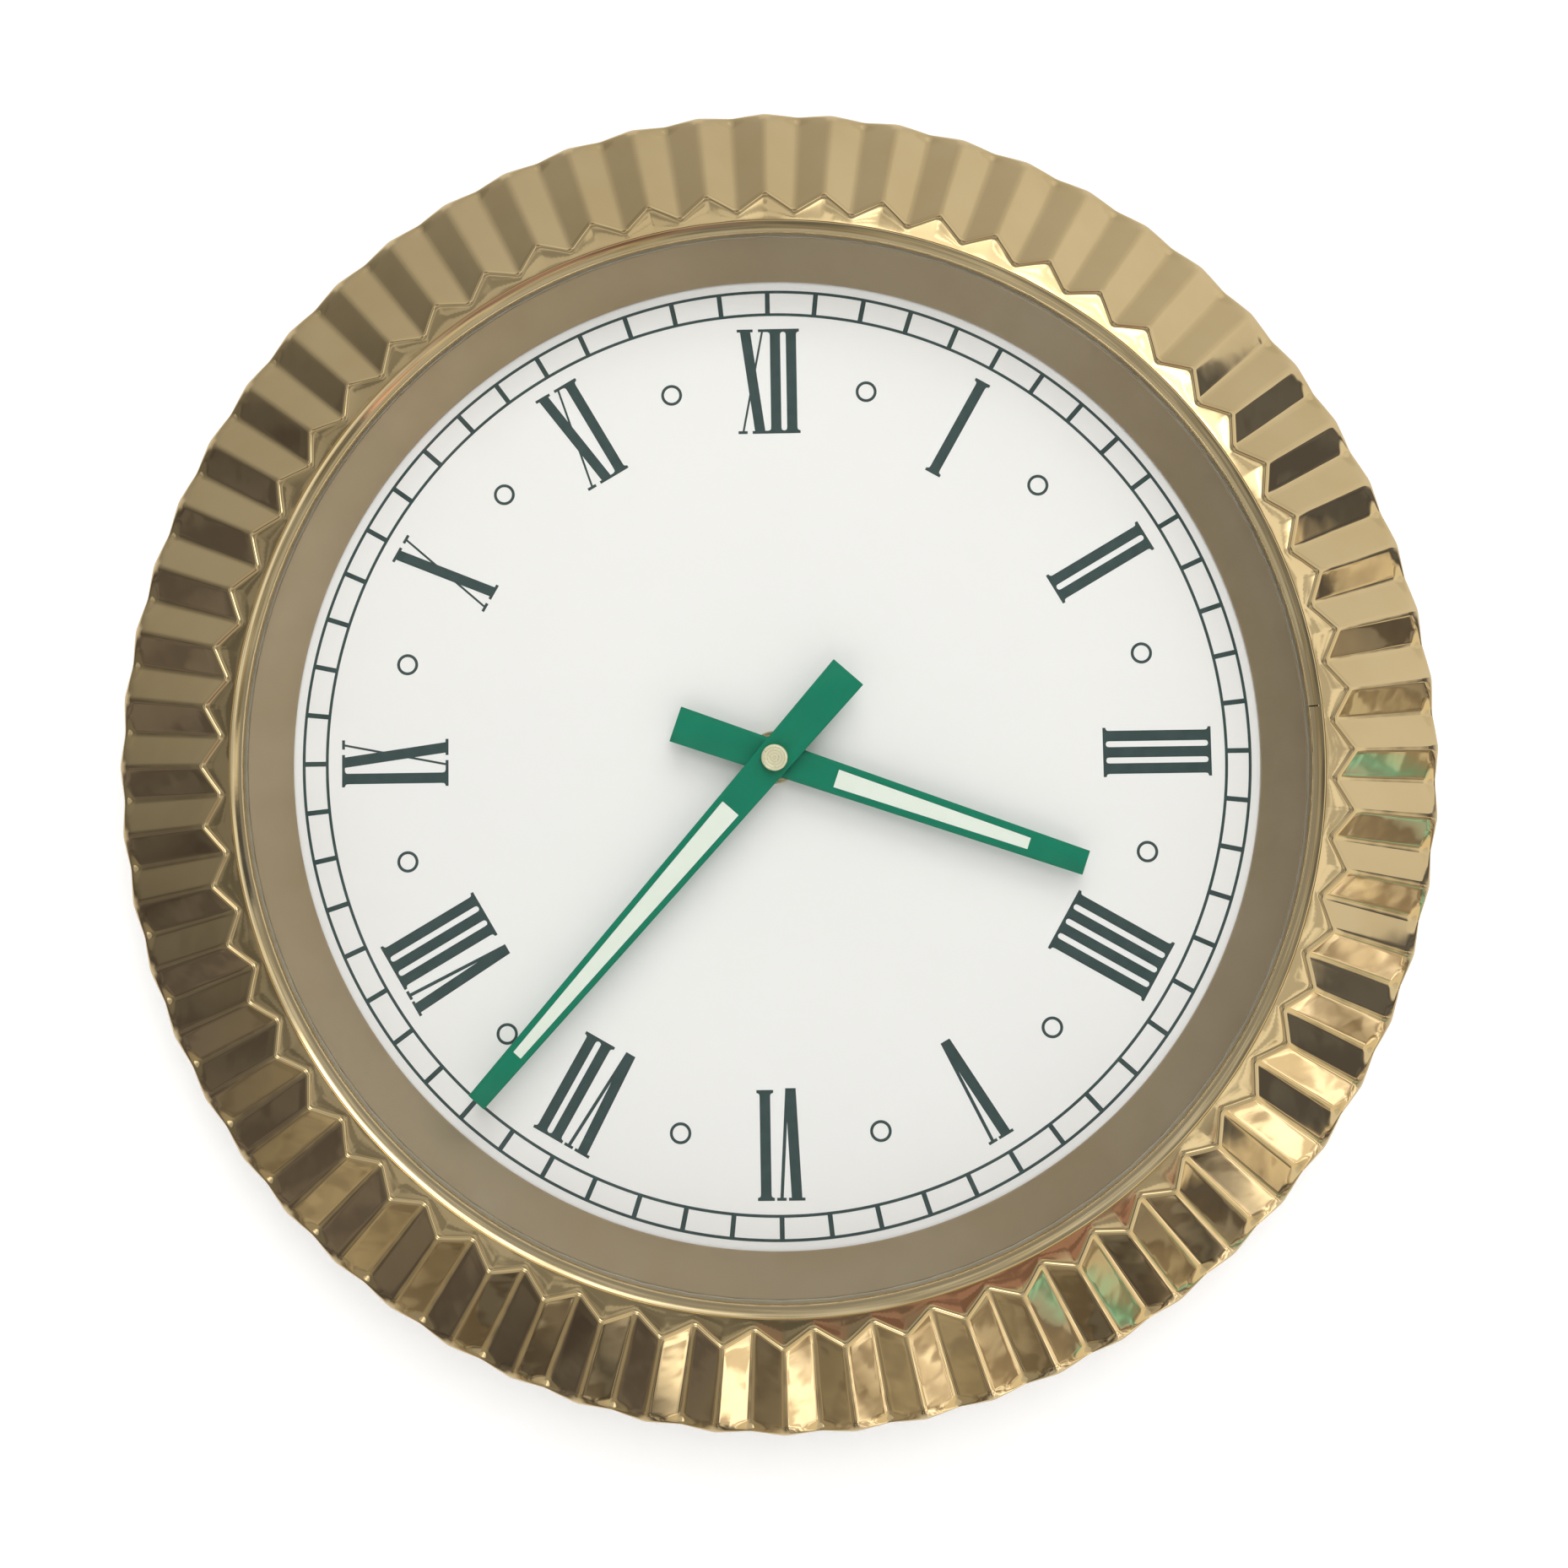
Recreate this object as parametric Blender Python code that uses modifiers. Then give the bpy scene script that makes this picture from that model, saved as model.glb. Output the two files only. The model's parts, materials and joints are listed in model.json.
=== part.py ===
"""Round fluted wall clock, modelled flat on its back and then hung on a wall.

Every piece is drawn in the clock's own frame, in millimetres: x to the right, y towards twelve
o'clock and z out of the wall towards the reader. The empty clock_axis turns that frame upright,
so the dial faces -Y, the wall is the plane y = 0 and the origin is the nail the clock hangs on.
"""

import math

import bmesh
import bpy
from mathutils import Matrix, Vector

MM = 0.001
GAP = 0.3                 # between pieces that touch

# Whole clock
BEZEL_RADIUS = 171.5
RIM_DEPTH = 26.0          # wall to the outer ends of the ridges
CREST_RADIUS = 144.0
CREST_DEPTH = 43.0        # wall to the inner ends of the ridges
HANG_HEIGHT = 110.0       # nail above the dial's centre
RING_STEPS = 120

# Bezel, pressed from one sheet
FLUTES = 60
FLUTE_DROP = 3.95          # valley below ridge, along the clock's axis
SHEET = 1.2
SKIRT_DRAFT = 2.0         # the skirt narrows by this towards the wall
INNER_CONE_FALL = 2.8     # crest to collar
COLLAR_LENGTH = 13.0

# Opening, and the stack behind it
OPENING_RADIUS = 134.1
TRIM_WIDTH = 3.3          # opening to the trim ring's outer edge
TRIM_OVERHANG = 0.6       # the trim ring's flange over the collar
TRIM_WALL = 0.9
TRIM_LIP = 1.6
TRIM_FLANGE = 0.9
TRIM_WALL_LENGTH = 10.0
SEAM_ANGLE = 85.4         # clockwise from twelve
SEAM_WIDTH = 0.3
LENS_THICKNESS = 2.0
GASKET_THICKNESS = 0.9
GASKET_WIDTH = 1.0
CHAPTER_HEIGHT = 9.7
CHAPTER_WIDTH = 9.0       # its sloping face, seen square on
CHAPTER_EDGE = 0.6
DIAL_THICKNESS = 1.5
DIAL_MARGIN = 7.4         # hidden under the chapter ring
DIAL_HOLE_CLEARANCE = 0.3

# Rear case
CASE_WALL = 2.8
CASE_WALL_HEIGHT = 12.0   # from the wall to the outer wall's top
CASE_FLOOR = 2.5
CASE_RECESS = 6.0
RING_WALL = 3.0
RING_WALL_INSET = 1.0     # dial's edge to the wall that backs it
WINDOW_CLEARANCE = 5.0    # round the movement
CASE_STEPS = 72

# Side screws
SIDE_SCREWS = 6
SIDE_SCREW_DEPTH = 5.0
SIDE_SCREW_HEAD = 5.0
SIDE_SCREW_HEAD_HEIGHT = 0.9
SIDE_SCREW_SHANK = 2.6
SIDE_SCREW_LENGTH = 6.5
SIDE_SCREW_DOME = 0.4
SHANK_CLEARANCE = 0.4

# Hanger
HANGER_WIDTH = 44.0
HANGER_HEIGHT = 32.0
HANGER_THICKNESS = 1.5
NAIL_SLOT = 5.0
NAIL_HEAD_HOLE = 9.5
NAIL_DROP = 9.0           # head hole below the slot's upper end
NAIL_ROOM = 2.0           # round the nail's head, in the case floor
HANGER_SCREW_SPACING = 34.0
HANGER_SCREW_HEAD = 5.6
HANGER_SCREW_HEAD_HEIGHT = 1.4
HANGER_SCREW_DOME = 0.6
HANGER_SCREW_SHANK = 2.8
HANGER_SCREW_LENGTH = 5.0

# Movement case
MOVEMENT_SIZE = 56.0
MOVEMENT_DEPTH = 16.4
MOVEMENT_WALL = 1.2
MOVEMENT_COVER = 1.4
MOVEMENT_FLOOR = 1.4
BATTERY_RADIUS = 7.1
BATTERY_LENGTH = 49.2
BATTERY_NUB_RADIUS = 2.7
BATTERY_NUB_LENGTH = 1.2
BATTERY_CLEARANCE = 0.4
BATTERY_EDGE = 0.4
SPRING_SPACE = 1.6        # for the contacts, at each end of the battery
SPRING_TIP_RADIUS = 2.0
SPRING_ROOT_RADIUS = 3.6
BLADE_MARGIN = 1.5        # contact's edge inside the battery's radius
SOFT_WASHER_THICKNESS = 1.0
SOFT_WASHER_RADIUS = 12.0
CONTACT_THICKNESS = 0.4

# Post, nut and hand stack
POST_RADIUS = 4.0
POST_BORE = 2.75
POST_FLANGE_RADIUS = 7.0
POST_FLANGE = 1.0
POST_HEIGHT = 3.4         # above the dial's face
POST_CHAMFER = 0.3
WASHER_RADIUS = 6.8
WASHER_THICKNESS = 0.5
NUT_FLATS = 11.0
NUT_HEIGHT = 2.0
HOUR_TUBE_RADIUS = 2.5
MINUTE_ARBOR_RADIUS = 1.6
ARBOR_TIP_RADIUS = 1.2
BORE_CLEARANCE = 0.2
HOUR_HAND_HEIGHT = 4.6    # dial's face to the underside of the hand
MINUTE_HAND_HEIGHT = 7.0
HAND_THICKNESS = 0.8
POCKET_DEPTH = 0.35
POCKET_GAP = 0.05
COLLET_RADIUS = 4.4
COLLET_HEIGHT = 0.7
ARBOR_SHOULDER = 0.6
BUSH_RADIUS = 3.4
BUSH_HEIGHT = 0.7
CAP_RADIUS = 3.4
CAP_HEIGHT = 2.2
CAP_BORE_DEPTH = 1.3

# Hands: lengths from the axis, full widths
HOUR_ANGLE = 109.5
HOUR_TIP_BACK = 31.4      # hour hand's tip short of the minute hand's
HOUR_TAIL = 26.9
HOUR_TAIL_WIDTH = 9.4
HOUR_TIP_WIDTH = 6.4
HOUR_INLAY_START = 16.6
HOUR_INLAY_MARGIN = 15.2
HOUR_INLAY_START_WIDTH = 4.8
HOUR_INLAY_END_WIDTH = 3.1
MINUTE_ANGLE = 221.8
MINUTE_TIP_INSET = 10.1   # tip short of the chapter ring
MINUTE_TAIL = 28.9
MINUTE_TAIL_WIDTH = 10.0
MINUTE_TIP_WIDTH = 5.2
MINUTE_INLAY_START = 17.0
MINUTE_INLAY_MARGIN = 15.6
MINUTE_INLAY_START_WIDTH = 5.5
MINUTE_INLAY_END_WIDTH = 2.6

# Gear train: teeth and modules
CANNON_TEETH = 8
MINUTE_WHEEL_TEETH = 24
MINUTE_PINION_TEETH = 6
HOUR_WHEEL_TEETH = 24
MOTION_MODULE = 0.5
CENTRE_TEETH = 48
THIRD_TEETH = 45
SECOND_TEETH = 30
INTERMEDIATE_TEETH = 36
PINION_TEETH = 6
CENTRE_MODULE = 0.4
THIRD_MODULE = 0.36
SECOND_MODULE = 0.4
INTERMEDIATE_MODULE = 0.32
WHEEL_THICKNESS = 0.8
LEAF_OVERLAP = 0.1        # a pinion's leaves run into its wheel
LEAF_RISE = 0.2           # and past the wheel that they drive
ROTOR_LEAF_RISE = 0.4
CANNON_HEIGHT = 1.2
PIVOT_RADIUS = 0.6
ROTOR_MAGNET_RADIUS = 3.0
STATOR_THICKNESS = 0.8
STATOR_AIR_GAP = 0.6
STATOR_RIM = 0.8          # iron round the rotor's hole
STATOR_ARM_HALF = 1.2
STATOR_FOOT = 3.0
STATOR_WINDOW_ROOM = 1.0
COIL_STANDOFF = 4.0       # stator's left end to the coil
COIL_LENGTH = 16.0
COIL_RADIUS = 2.9
BOBBIN_FLANGE = 0.8
BOBBIN_WALL = 0.5
BOARD_THICKNESS = 0.8
BOARD_RIGHT = -6.0
BOARD_ROOM = 3.5          # board to the setting knob and the coil
CHIP_RADIUS = 2.6
CHIP_HEIGHT = 1.2
CRYSTAL_RADIUS = 1.0
CRYSTAL_LENGTH = 6.0
KNOB_RADIUS = 4.5
KNOB_HEIGHT = 1.4
KNOB_STEM_RADIUS = 1.2
KNOB_SLOT = 1.2
KNOB_SLOT_DEPTH = 0.6

# Steps between the train's levels
INTERMEDIATE_LEVEL = 2.2  # above the case's floor
SECOND_STEP = 1.2
CENTRE_STEP = 1.4
CANNON_STEP = 0.9
MINUTE_WHEEL_STEP = 0.2   # above the cannon pinion's foot
HOUR_WHEEL_STEP = 1.6

# Depths along the clock's axis, from the wall
collar_top = CREST_DEPTH - INNER_CONE_FALL
trim_top = collar_top + GAP + TRIM_FLANGE
lens_top = trim_top - TRIM_LIP - GAP
lens_bottom = lens_top - LENS_THICKNESS
gasket_bottom = lens_bottom - GAP - GASKET_THICKNESS
chapter_top = gasket_bottom - GAP
chapter_bottom = chapter_top - CHAPTER_HEIGHT
dial_face = chapter_bottom - GAP
dial_back = dial_face - DIAL_THICKNESS
movement_front = dial_back - GAP - SOFT_WASHER_THICKNESS - GAP
movement_back = movement_front - MOVEMENT_DEPTH
cover_back = movement_front - MOVEMENT_COVER
base_front = cover_back - GAP
train_floor = movement_back + MOVEMENT_FLOOR
case_floor_top = CASE_RECESS + CASE_FLOOR
ring_wall_top = dial_back - GAP
post_top = dial_face + POST_HEIGHT

# Radii worked out from the opening
trim_radius = OPENING_RADIUS + TRIM_WIDTH
trim_wall_inner = trim_radius - 2 * TRIM_WALL
lens_radius = trim_wall_inner - GAP
collar_radius = trim_radius - TRIM_OVERHANG
chapter_inner_radius = OPENING_RADIUS - CHAPTER_WIDTH
dial_radius = chapter_inner_radius + DIAL_MARGIN
ring_wall_radius = dial_radius - RING_WALL_INSET
minute_tip = chapter_inner_radius - MINUTE_TIP_INSET
hour_tip = minute_tip - HOUR_TIP_BACK
case_radius = BEZEL_RADIUS - SKIRT_DRAFT - SHEET - GAP

# Where the arbors stand on the clock's face
motion_distance = MOTION_MODULE * (CANNON_TEETH + MINUTE_WHEEL_TEETH) / 2
hour_module = 2 * motion_distance / (MINUTE_PINION_TEETH + HOUR_WHEEL_TEETH)


def polar(distance, degrees):
    """A point at a distance and an anticlockwise angle from the x axis."""
    angle = math.radians(degrees)
    return Vector((distance * math.cos(angle), distance * math.sin(angle)))


def mesh_distance(module, teeth):
    """The distance between a wheel and the six-leaf pinion that drives it."""
    return module * (teeth + PINION_TEETH) / 2


centre_at = Vector((0.0, 0.0))
minute_wheel_at = centre_at + polar(motion_distance, 180)
knob_at = minute_wheel_at + polar(motion_distance, 144)
third_at = centre_at + polar(mesh_distance(CENTRE_MODULE, CENTRE_TEETH), 60)
second_at = third_at + polar(mesh_distance(THIRD_MODULE, THIRD_TEETH), 0)
intermediate_at = second_at + polar(mesh_distance(SECOND_MODULE, SECOND_TEETH), 100)
rotor_at = intermediate_at + polar(mesh_distance(INTERMEDIATE_MODULE, INTERMEDIATE_TEETH), 180)
movement_inside = MOVEMENT_SIZE / 2 - MOVEMENT_WALL
bay_half = (BATTERY_LENGTH + BATTERY_NUB_LENGTH) / 2 + SPRING_SPACE
battery_y = -movement_inside + BATTERY_CLEARANCE + BATTERY_RADIUS
battery_z = movement_back + BATTERY_CLEARANCE + BATTERY_RADIUS
partition_y = battery_y + BATTERY_RADIUS + BATTERY_CLEARANCE


def clear_scene():
    for thing in list(bpy.data.objects):
        bpy.data.objects.remove(thing, do_unlink=True)


def new_collection(name):
    collection = bpy.data.collections.new(name)
    bpy.context.scene.collection.children.link(collection)
    return collection


clear_scene()
parts = new_collection("wall_clock")
cutters = new_collection("cutters")


def material(name, color, roughness, metallic=0.0, alpha=1.0):
    made = bpy.data.materials.new(name)
    made.use_nodes = True
    shader = made.node_tree.nodes["Principled BSDF"]
    shader.inputs["Base Color"].default_value = (*color, 1.0)
    shader.inputs["Roughness"].default_value = roughness
    shader.inputs["Metallic"].default_value = metallic
    shader.inputs["Alpha"].default_value = alpha
    return made


gold = material("gold_plate", (0.72, 0.55, 0.27), 0.12, 1.0)
trim_gold = material("trim_gold_plate", (0.76, 0.59, 0.30), 0.15, 1.0)
brass = material("brass", (0.70, 0.58, 0.34), 0.28, 1.0)
steel = material("zinc_plated_steel", (0.62, 0.62, 0.60), 0.35, 1.0)
chapter_paint = material("satin_chapter_ring", (0.31, 0.27, 0.21), 0.45, 0.6)
dial_paint = material("white_dial", (0.88, 0.88, 0.88), 0.5)
hand_paint = material("green_hand", (0.008, 0.19, 0.105), 0.35)
inlay_paint = material("cream_inlay", (0.86, 0.90, 0.74), 0.6)
glass = material("clear_lens", (0.95, 0.97, 0.97), 0.03, 0.0, 0.2)
black_plastic = material("black_plastic", (0.02, 0.02, 0.022), 0.5)
movement_plastic = material("grey_movement_plastic", (0.05, 0.05, 0.055), 0.45)
gear_plastic = material("gear_plastic", (0.75, 0.72, 0.62), 0.5)
rubber = material("black_rubber", (0.015, 0.015, 0.015), 0.85)
gasket_rubber = material("beige_rubber", (0.34, 0.29, 0.21), 0.8)
copper = material("copper_wire", (0.60, 0.24, 0.10), 0.35, 1.0)
iron = material("stator_iron", (0.30, 0.30, 0.31), 0.4, 1.0)
board_green = material("circuit_board", (0.03, 0.16, 0.07), 0.5)
battery_wrap = material("battery_wrap", (0.08, 0.20, 0.45), 0.35)


def empty(name, place=(0.0, 0.0), parent=None):
    made = bpy.data.objects.new(name, None)
    made.location = (place[0] * MM, place[1] * MM, 0.0)
    made.parent = parent
    parts.objects.link(made)
    return made


clock_axis = empty("clock_axis")
clock_axis.location = (0.0, 0.0, -HANG_HEIGHT * MM)
clock_axis.rotation_euler = (math.radians(90), 0.0, 0.0)


def add_object(name, mesh, finish, parent):
    made = bpy.data.objects.new(name, mesh)
    made.parent = parent
    if finish is None:
        cutters.objects.link(made)
        made.hide_render = True
        made.display_type = "WIRE"
    else:
        parts.objects.link(made)
        mesh.materials.append(finish)
    return made


def turned(name, profile, finish=None, steps=RING_STEPS, parent=clock_axis, place=(0.0, 0.0)):
    """A ring or disc turned about z from (radius, z) points that run down its outer side."""
    mesh = bpy.data.meshes.new(name)
    points = [Vector((radius * MM, 0.0, z * MM)) for radius, z in profile]
    count = len(points)
    on_axis = profile[0][0] == 0 and profile[-1][0] == 0
    edges = [(i, i + 1) for i in range(count - 1)]
    if not on_axis:
        edges.append((count - 1, 0))
    mesh.from_pydata(points, edges, [])
    made = add_object(name, mesh, finish, parent)
    made.location = (place[0] * MM, place[1] * MM, 0.0)
    screw = made.modifiers.new("turn", "SCREW")
    screw.axis = "Z"
    screw.steps = steps
    screw.render_steps = steps
    screw.use_merge_vertices = True
    screw.merge_threshold = 0.00001
    return made


def ring(name, inner, outer, bottom, top, finish=None, steps=RING_STEPS, parent=clock_axis,
         place=(0.0, 0.0)):
    """A flat ring, or a disc where inner is 0."""
    profile = [(inner, top), (outer, top), (outer, bottom), (inner, bottom)]
    return turned(name, profile, finish, steps, parent, place)


def cylinder(name, radius, bottom, top, finish=None, steps=24, parent=clock_axis,
             place=(0.0, 0.0)):
    return ring(name, 0.0, radius, bottom, top, finish, steps, parent, place)


def box(name, low, high, finish=None, parent=clock_axis):
    mesh = bpy.data.meshes.new(name)
    shape = bmesh.new()
    low, high = Vector(low) * MM, Vector(high) * MM
    size = high - low
    place = Matrix.Translation((low + high) / 2) @ Matrix.Diagonal((*size, 1.0))
    bmesh.ops.create_cube(shape, size=1.0, matrix=place)
    shape.to_mesh(mesh)
    shape.free()
    return add_object(name, mesh, finish, parent)


def plate(name, outlines, bottom, top, finish=None, parent=clock_axis, place=(0.0, 0.0)):
    """A flat plate: the first outline is its edge and the others are holes in it."""
    curve = bpy.data.curves.new(name, "CURVE")
    curve.dimensions = "2D"
    curve.fill_mode = "BOTH"
    curve.extrude = (top - bottom) * MM / 2
    for outline in outlines:
        spline = curve.splines.new("POLY")
        spline.points.add(len(outline) - 1)
        for point, (x, y) in zip(spline.points, outline):
            point.co = (x * MM, y * MM, 0.0, 1.0)
        spline.use_cyclic_u = True
    drawn = bpy.data.objects.new(name + "_outline", curve)
    cutters.objects.link(drawn)
    drawn.hide_render = True
    depsgraph = bpy.context.evaluated_depsgraph_get()
    mesh = bpy.data.meshes.new_from_object(drawn.evaluated_get(depsgraph))
    bpy.data.objects.remove(drawn, do_unlink=True)
    mesh.name = name
    made = add_object(name, mesh, finish, parent)
    middle = (top + bottom) * MM / 2
    mesh.transform(Matrix.Translation((0.0, 0.0, middle)))
    weld = made.modifiers.new("weld", "WELD")
    weld.merge_threshold = 0.00001
    made.location = (place[0] * MM, place[1] * MM, 0.0)
    return made


def boolean(target, tool, operation):
    step = target.modifiers.new(operation.lower() + "_" + tool.name, "BOOLEAN")
    step.operation = operation
    step.solver = "EXACT"
    step.object = tool
    return target


def cut(target, *tools):
    for tool in tools:
        boolean(target, tool, "DIFFERENCE")
    return target


def join(target, *tools):
    for tool in tools:
        boolean(target, tool, "UNION")
    return target


def circle(radius, count, start=0.0, place=(0.0, 0.0)):
    points = []
    for i in range(count):
        angle = start + 2 * math.pi * i / count
        points.append((place[0] + radius * math.cos(angle), place[1] + radius * math.sin(angle)))
    return points


def rectangle(left, bottom, right, top):
    return [(left, bottom), (right, bottom), (right, top), (left, top)]


def star_cone(name, drop):
    """A cone whose side is folded into ridges and valleys, lowered by drop along its axis."""
    slope = (CREST_DEPTH - RIM_DEPTH) / (BEZEL_RADIUS - CREST_RADIUS)
    valley_in = FLUTE_DROP / slope
    low, high = RIM_DEPTH - 5 * FLUTE_DROP, CREST_DEPTH + 2 * FLUTE_DROP
    mesh = bpy.data.meshes.new(name)
    shape = bmesh.new()
    bmesh.ops.create_cone(shape, cap_ends=True, segments=2 * FLUTES, radius1=1.0, radius2=1.0,
                          depth=1.0)
    for point in shape.verts:
        angle = math.atan2(point.co.y, point.co.x)
        turn = round(angle / math.pi * FLUTES)
        z = low if point.co.z < 0 else high
        radius = BEZEL_RADIUS - (z - RIM_DEPTH) / slope - (valley_in if turn % 2 else 0.0)
        angle = turn * math.pi / FLUTES
        point.co = Vector((radius * math.cos(angle), radius * math.sin(angle), z - drop)) * MM
    bmesh.ops.triangulate(shape, faces=shape.faces[:])
    shape.to_mesh(mesh)
    shape.free()
    return add_object(name, mesh, None, clock_axis)


def skirt_radius(z):
    """Outside of the bezel's skirt at a depth from the wall."""
    return BEZEL_RADIUS - SKIRT_DRAFT * (RIM_DEPTH - z) / RIM_DEPTH


def make_bezel():
    cone_slope = INNER_CONE_FALL / (CREST_RADIUS - collar_radius)
    collar_bottom = collar_top - COLLAR_LENGTH
    above = CREST_DEPTH + FLUTE_DROP
    cone_end = CREST_RADIUS + FLUTE_DROP
    cone_end_z = CREST_DEPTH + FLUTE_DROP * cone_slope
    blank = [
        (collar_radius, collar_top),
        (cone_end, cone_end_z),
        (cone_end, above),
        (skirt_radius(above), above),
        (skirt_radius(GAP), GAP),
        (skirt_radius(GAP) - SHEET, GAP),
        (collar_radius + SHEET, collar_bottom),
        (collar_radius, collar_bottom),
    ]
    bezel = turned("bezel", blank, gold)
    off_ridge = math.radians(90 / FLUTES)
    bezel.rotation_euler = (0.0, 0.0, off_ridge)
    boolean(bezel, star_cone("flutes", 0.0), "INTERSECT")
    under = SHEET / math.cos(math.atan(cone_slope))
    void_bottom = -SHEET
    hollow = [
        (collar_radius + SHEET, collar_top - under + SHEET * cone_slope),
        (cone_end, cone_end_z - under),
        (cone_end, above),
        (skirt_radius(above) - SHEET, above),
        (skirt_radius(void_bottom) - SHEET, void_bottom),
        (collar_radius + SHEET, void_bottom),
    ]
    void = turned("bezel_void", hollow)
    void.rotation_euler = (0.0, 0.0, off_ridge)
    slope = math.atan((CREST_DEPTH - RIM_DEPTH) / (BEZEL_RADIUS - CREST_RADIUS))
    fold = math.atan(FLUTE_DROP * math.cos(slope) * FLUTES / math.pi / BEZEL_RADIUS)
    sheet_drop = SHEET / math.cos(slope) / math.cos(fold)
    boolean(void, star_cone("flutes_inside", sheet_drop), "INTERSECT")
    cut(bezel, void)
    return bezel


def make_trim_ring():
    wall_bottom = trim_top - TRIM_LIP - TRIM_WALL_LENGTH
    wall_outer = trim_wall_inner + TRIM_WALL
    flange_bottom = trim_top - TRIM_FLANGE
    lip_bottom = trim_top - TRIM_LIP
    round_off = TRIM_FLANGE / 3
    profile = [
        (OPENING_RADIUS + 2 * round_off, trim_top),
        (trim_radius - round_off, trim_top),
        (trim_radius, trim_top - round_off),
        (trim_radius, flange_bottom),
        (wall_outer, flange_bottom),
        (wall_outer, wall_bottom),
        (trim_wall_inner, wall_bottom),
        (trim_wall_inner, lip_bottom),
        (OPENING_RADIUS, lip_bottom),
        (OPENING_RADIUS, trim_top - 2 * round_off),
    ]
    trim = turned("trim_ring", profile, trim_gold)
    seam = box("seam", (OPENING_RADIUS - 1, -SEAM_WIDTH / 2, wall_bottom - 1),
               (trim_radius + 1, SEAM_WIDTH / 2, trim_top + 1))
    seam.rotation_euler = (0.0, 0.0, math.radians(90 - SEAM_ANGLE))
    return cut(trim, seam)


def make_front_stack():
    ring("lens", 0.0, lens_radius, lens_bottom, lens_top, glass)
    ring("lens_gasket", lens_radius - GASKET_WIDTH, lens_radius, gasket_bottom,
         lens_bottom - GAP, gasket_rubber, CASE_STEPS)
    chapter = [
        (OPENING_RADIUS, chapter_top),
        (lens_radius, chapter_top),
        (lens_radius, chapter_bottom),
        (chapter_inner_radius, chapter_bottom),
        (chapter_inner_radius, chapter_bottom + CHAPTER_EDGE),
    ]
    turned("chapter_ring", chapter, chapter_paint)
    ring("dial", POST_RADIUS + DIAL_HOLE_CLEARANCE, dial_radius, dial_back, dial_face, dial_paint,
         CASE_STEPS)


def side_angles():
    return [math.radians(360 * (i + 0.5) / SIDE_SCREWS) for i in range(SIDE_SCREWS)]


def radial(made, angle, radius):
    """Turns a piece made along z so that z runs outwards, at a radius on the side of the case."""
    made.rotation_euler = (0.0, math.radians(90), angle)
    place = (radius * math.cos(angle), radius * math.sin(angle), SIDE_SCREW_DEPTH)
    made.location = Vector(place) * MM


def make_rear_case(bezel):
    outer_wall_inner = case_radius - CASE_WALL
    ring_inner = ring_wall_radius - RING_WALL
    profile = [
        (0.0, case_floor_top),
        (ring_inner, case_floor_top),
        (ring_inner, ring_wall_top),
        (ring_wall_radius, ring_wall_top),
        (ring_wall_radius, case_floor_top),
        (outer_wall_inner, case_floor_top),
        (outer_wall_inner, CASE_WALL_HEIGHT),
        (case_radius, CASE_WALL_HEIGHT),
        (case_radius, 0.0),
        (outer_wall_inner, 0.0),
        (outer_wall_inner, CASE_RECESS),
        (0.0, CASE_RECESS),
    ]
    case = turned("rear_case", profile, black_plastic, CASE_STEPS)
    case.rotation_euler = (0.0, 0.0, math.pi / CASE_STEPS)
    half = MOVEMENT_SIZE / 2 + WINDOW_CLEARANCE
    cut(case, box("movement_window", (-half, -half, CASE_RECESS - 1), (half, half, case_floor_top + 1)))
    pocket_half = NAIL_HEAD_HOLE / 2 + NAIL_ROOM
    cut(case, box("nail_pocket", (-pocket_half, HANG_HEIGHT - NAIL_DROP - pocket_half, CASE_RECESS - 1),
                  (pocket_half, HANG_HEIGHT + pocket_half, case_floor_top + 1)))
    shank = SIDE_SCREW_SHANK / 2 + SHANK_CLEARANCE / 2
    seat = skirt_radius(SIDE_SCREW_DEPTH)
    head_start = GAP / 2 + SIDE_SCREW_HEAD / 2 * SKIRT_DRAFT / RIM_DEPTH
    for number, angle in enumerate(side_angles(), 1):
        hole = cylinder(f"side_hole_{number}", shank, -SIDE_SCREW_LENGTH - 2, 3.0, None, 12)
        radial(hole, angle, seat)
        cut(case, hole)
        cut(bezel, hole)
        screw_profile = [
            (0.0, head_start + SIDE_SCREW_HEAD_HEIGHT),
            (SIDE_SCREW_HEAD / 2 - SIDE_SCREW_DOME, head_start + SIDE_SCREW_HEAD_HEIGHT),
            (SIDE_SCREW_HEAD / 2, head_start + SIDE_SCREW_HEAD_HEIGHT / 2),
            (SIDE_SCREW_HEAD / 2, head_start),
            (SIDE_SCREW_SHANK / 2, head_start),
            (SIDE_SCREW_SHANK / 2, head_start - SIDE_SCREW_LENGTH),
            (0.0, head_start - SIDE_SCREW_LENGTH),
        ]
        screw = turned(f"case_screw_{number}", screw_profile, steel, 12)
        radial(screw, angle, seat)
    return case


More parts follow.
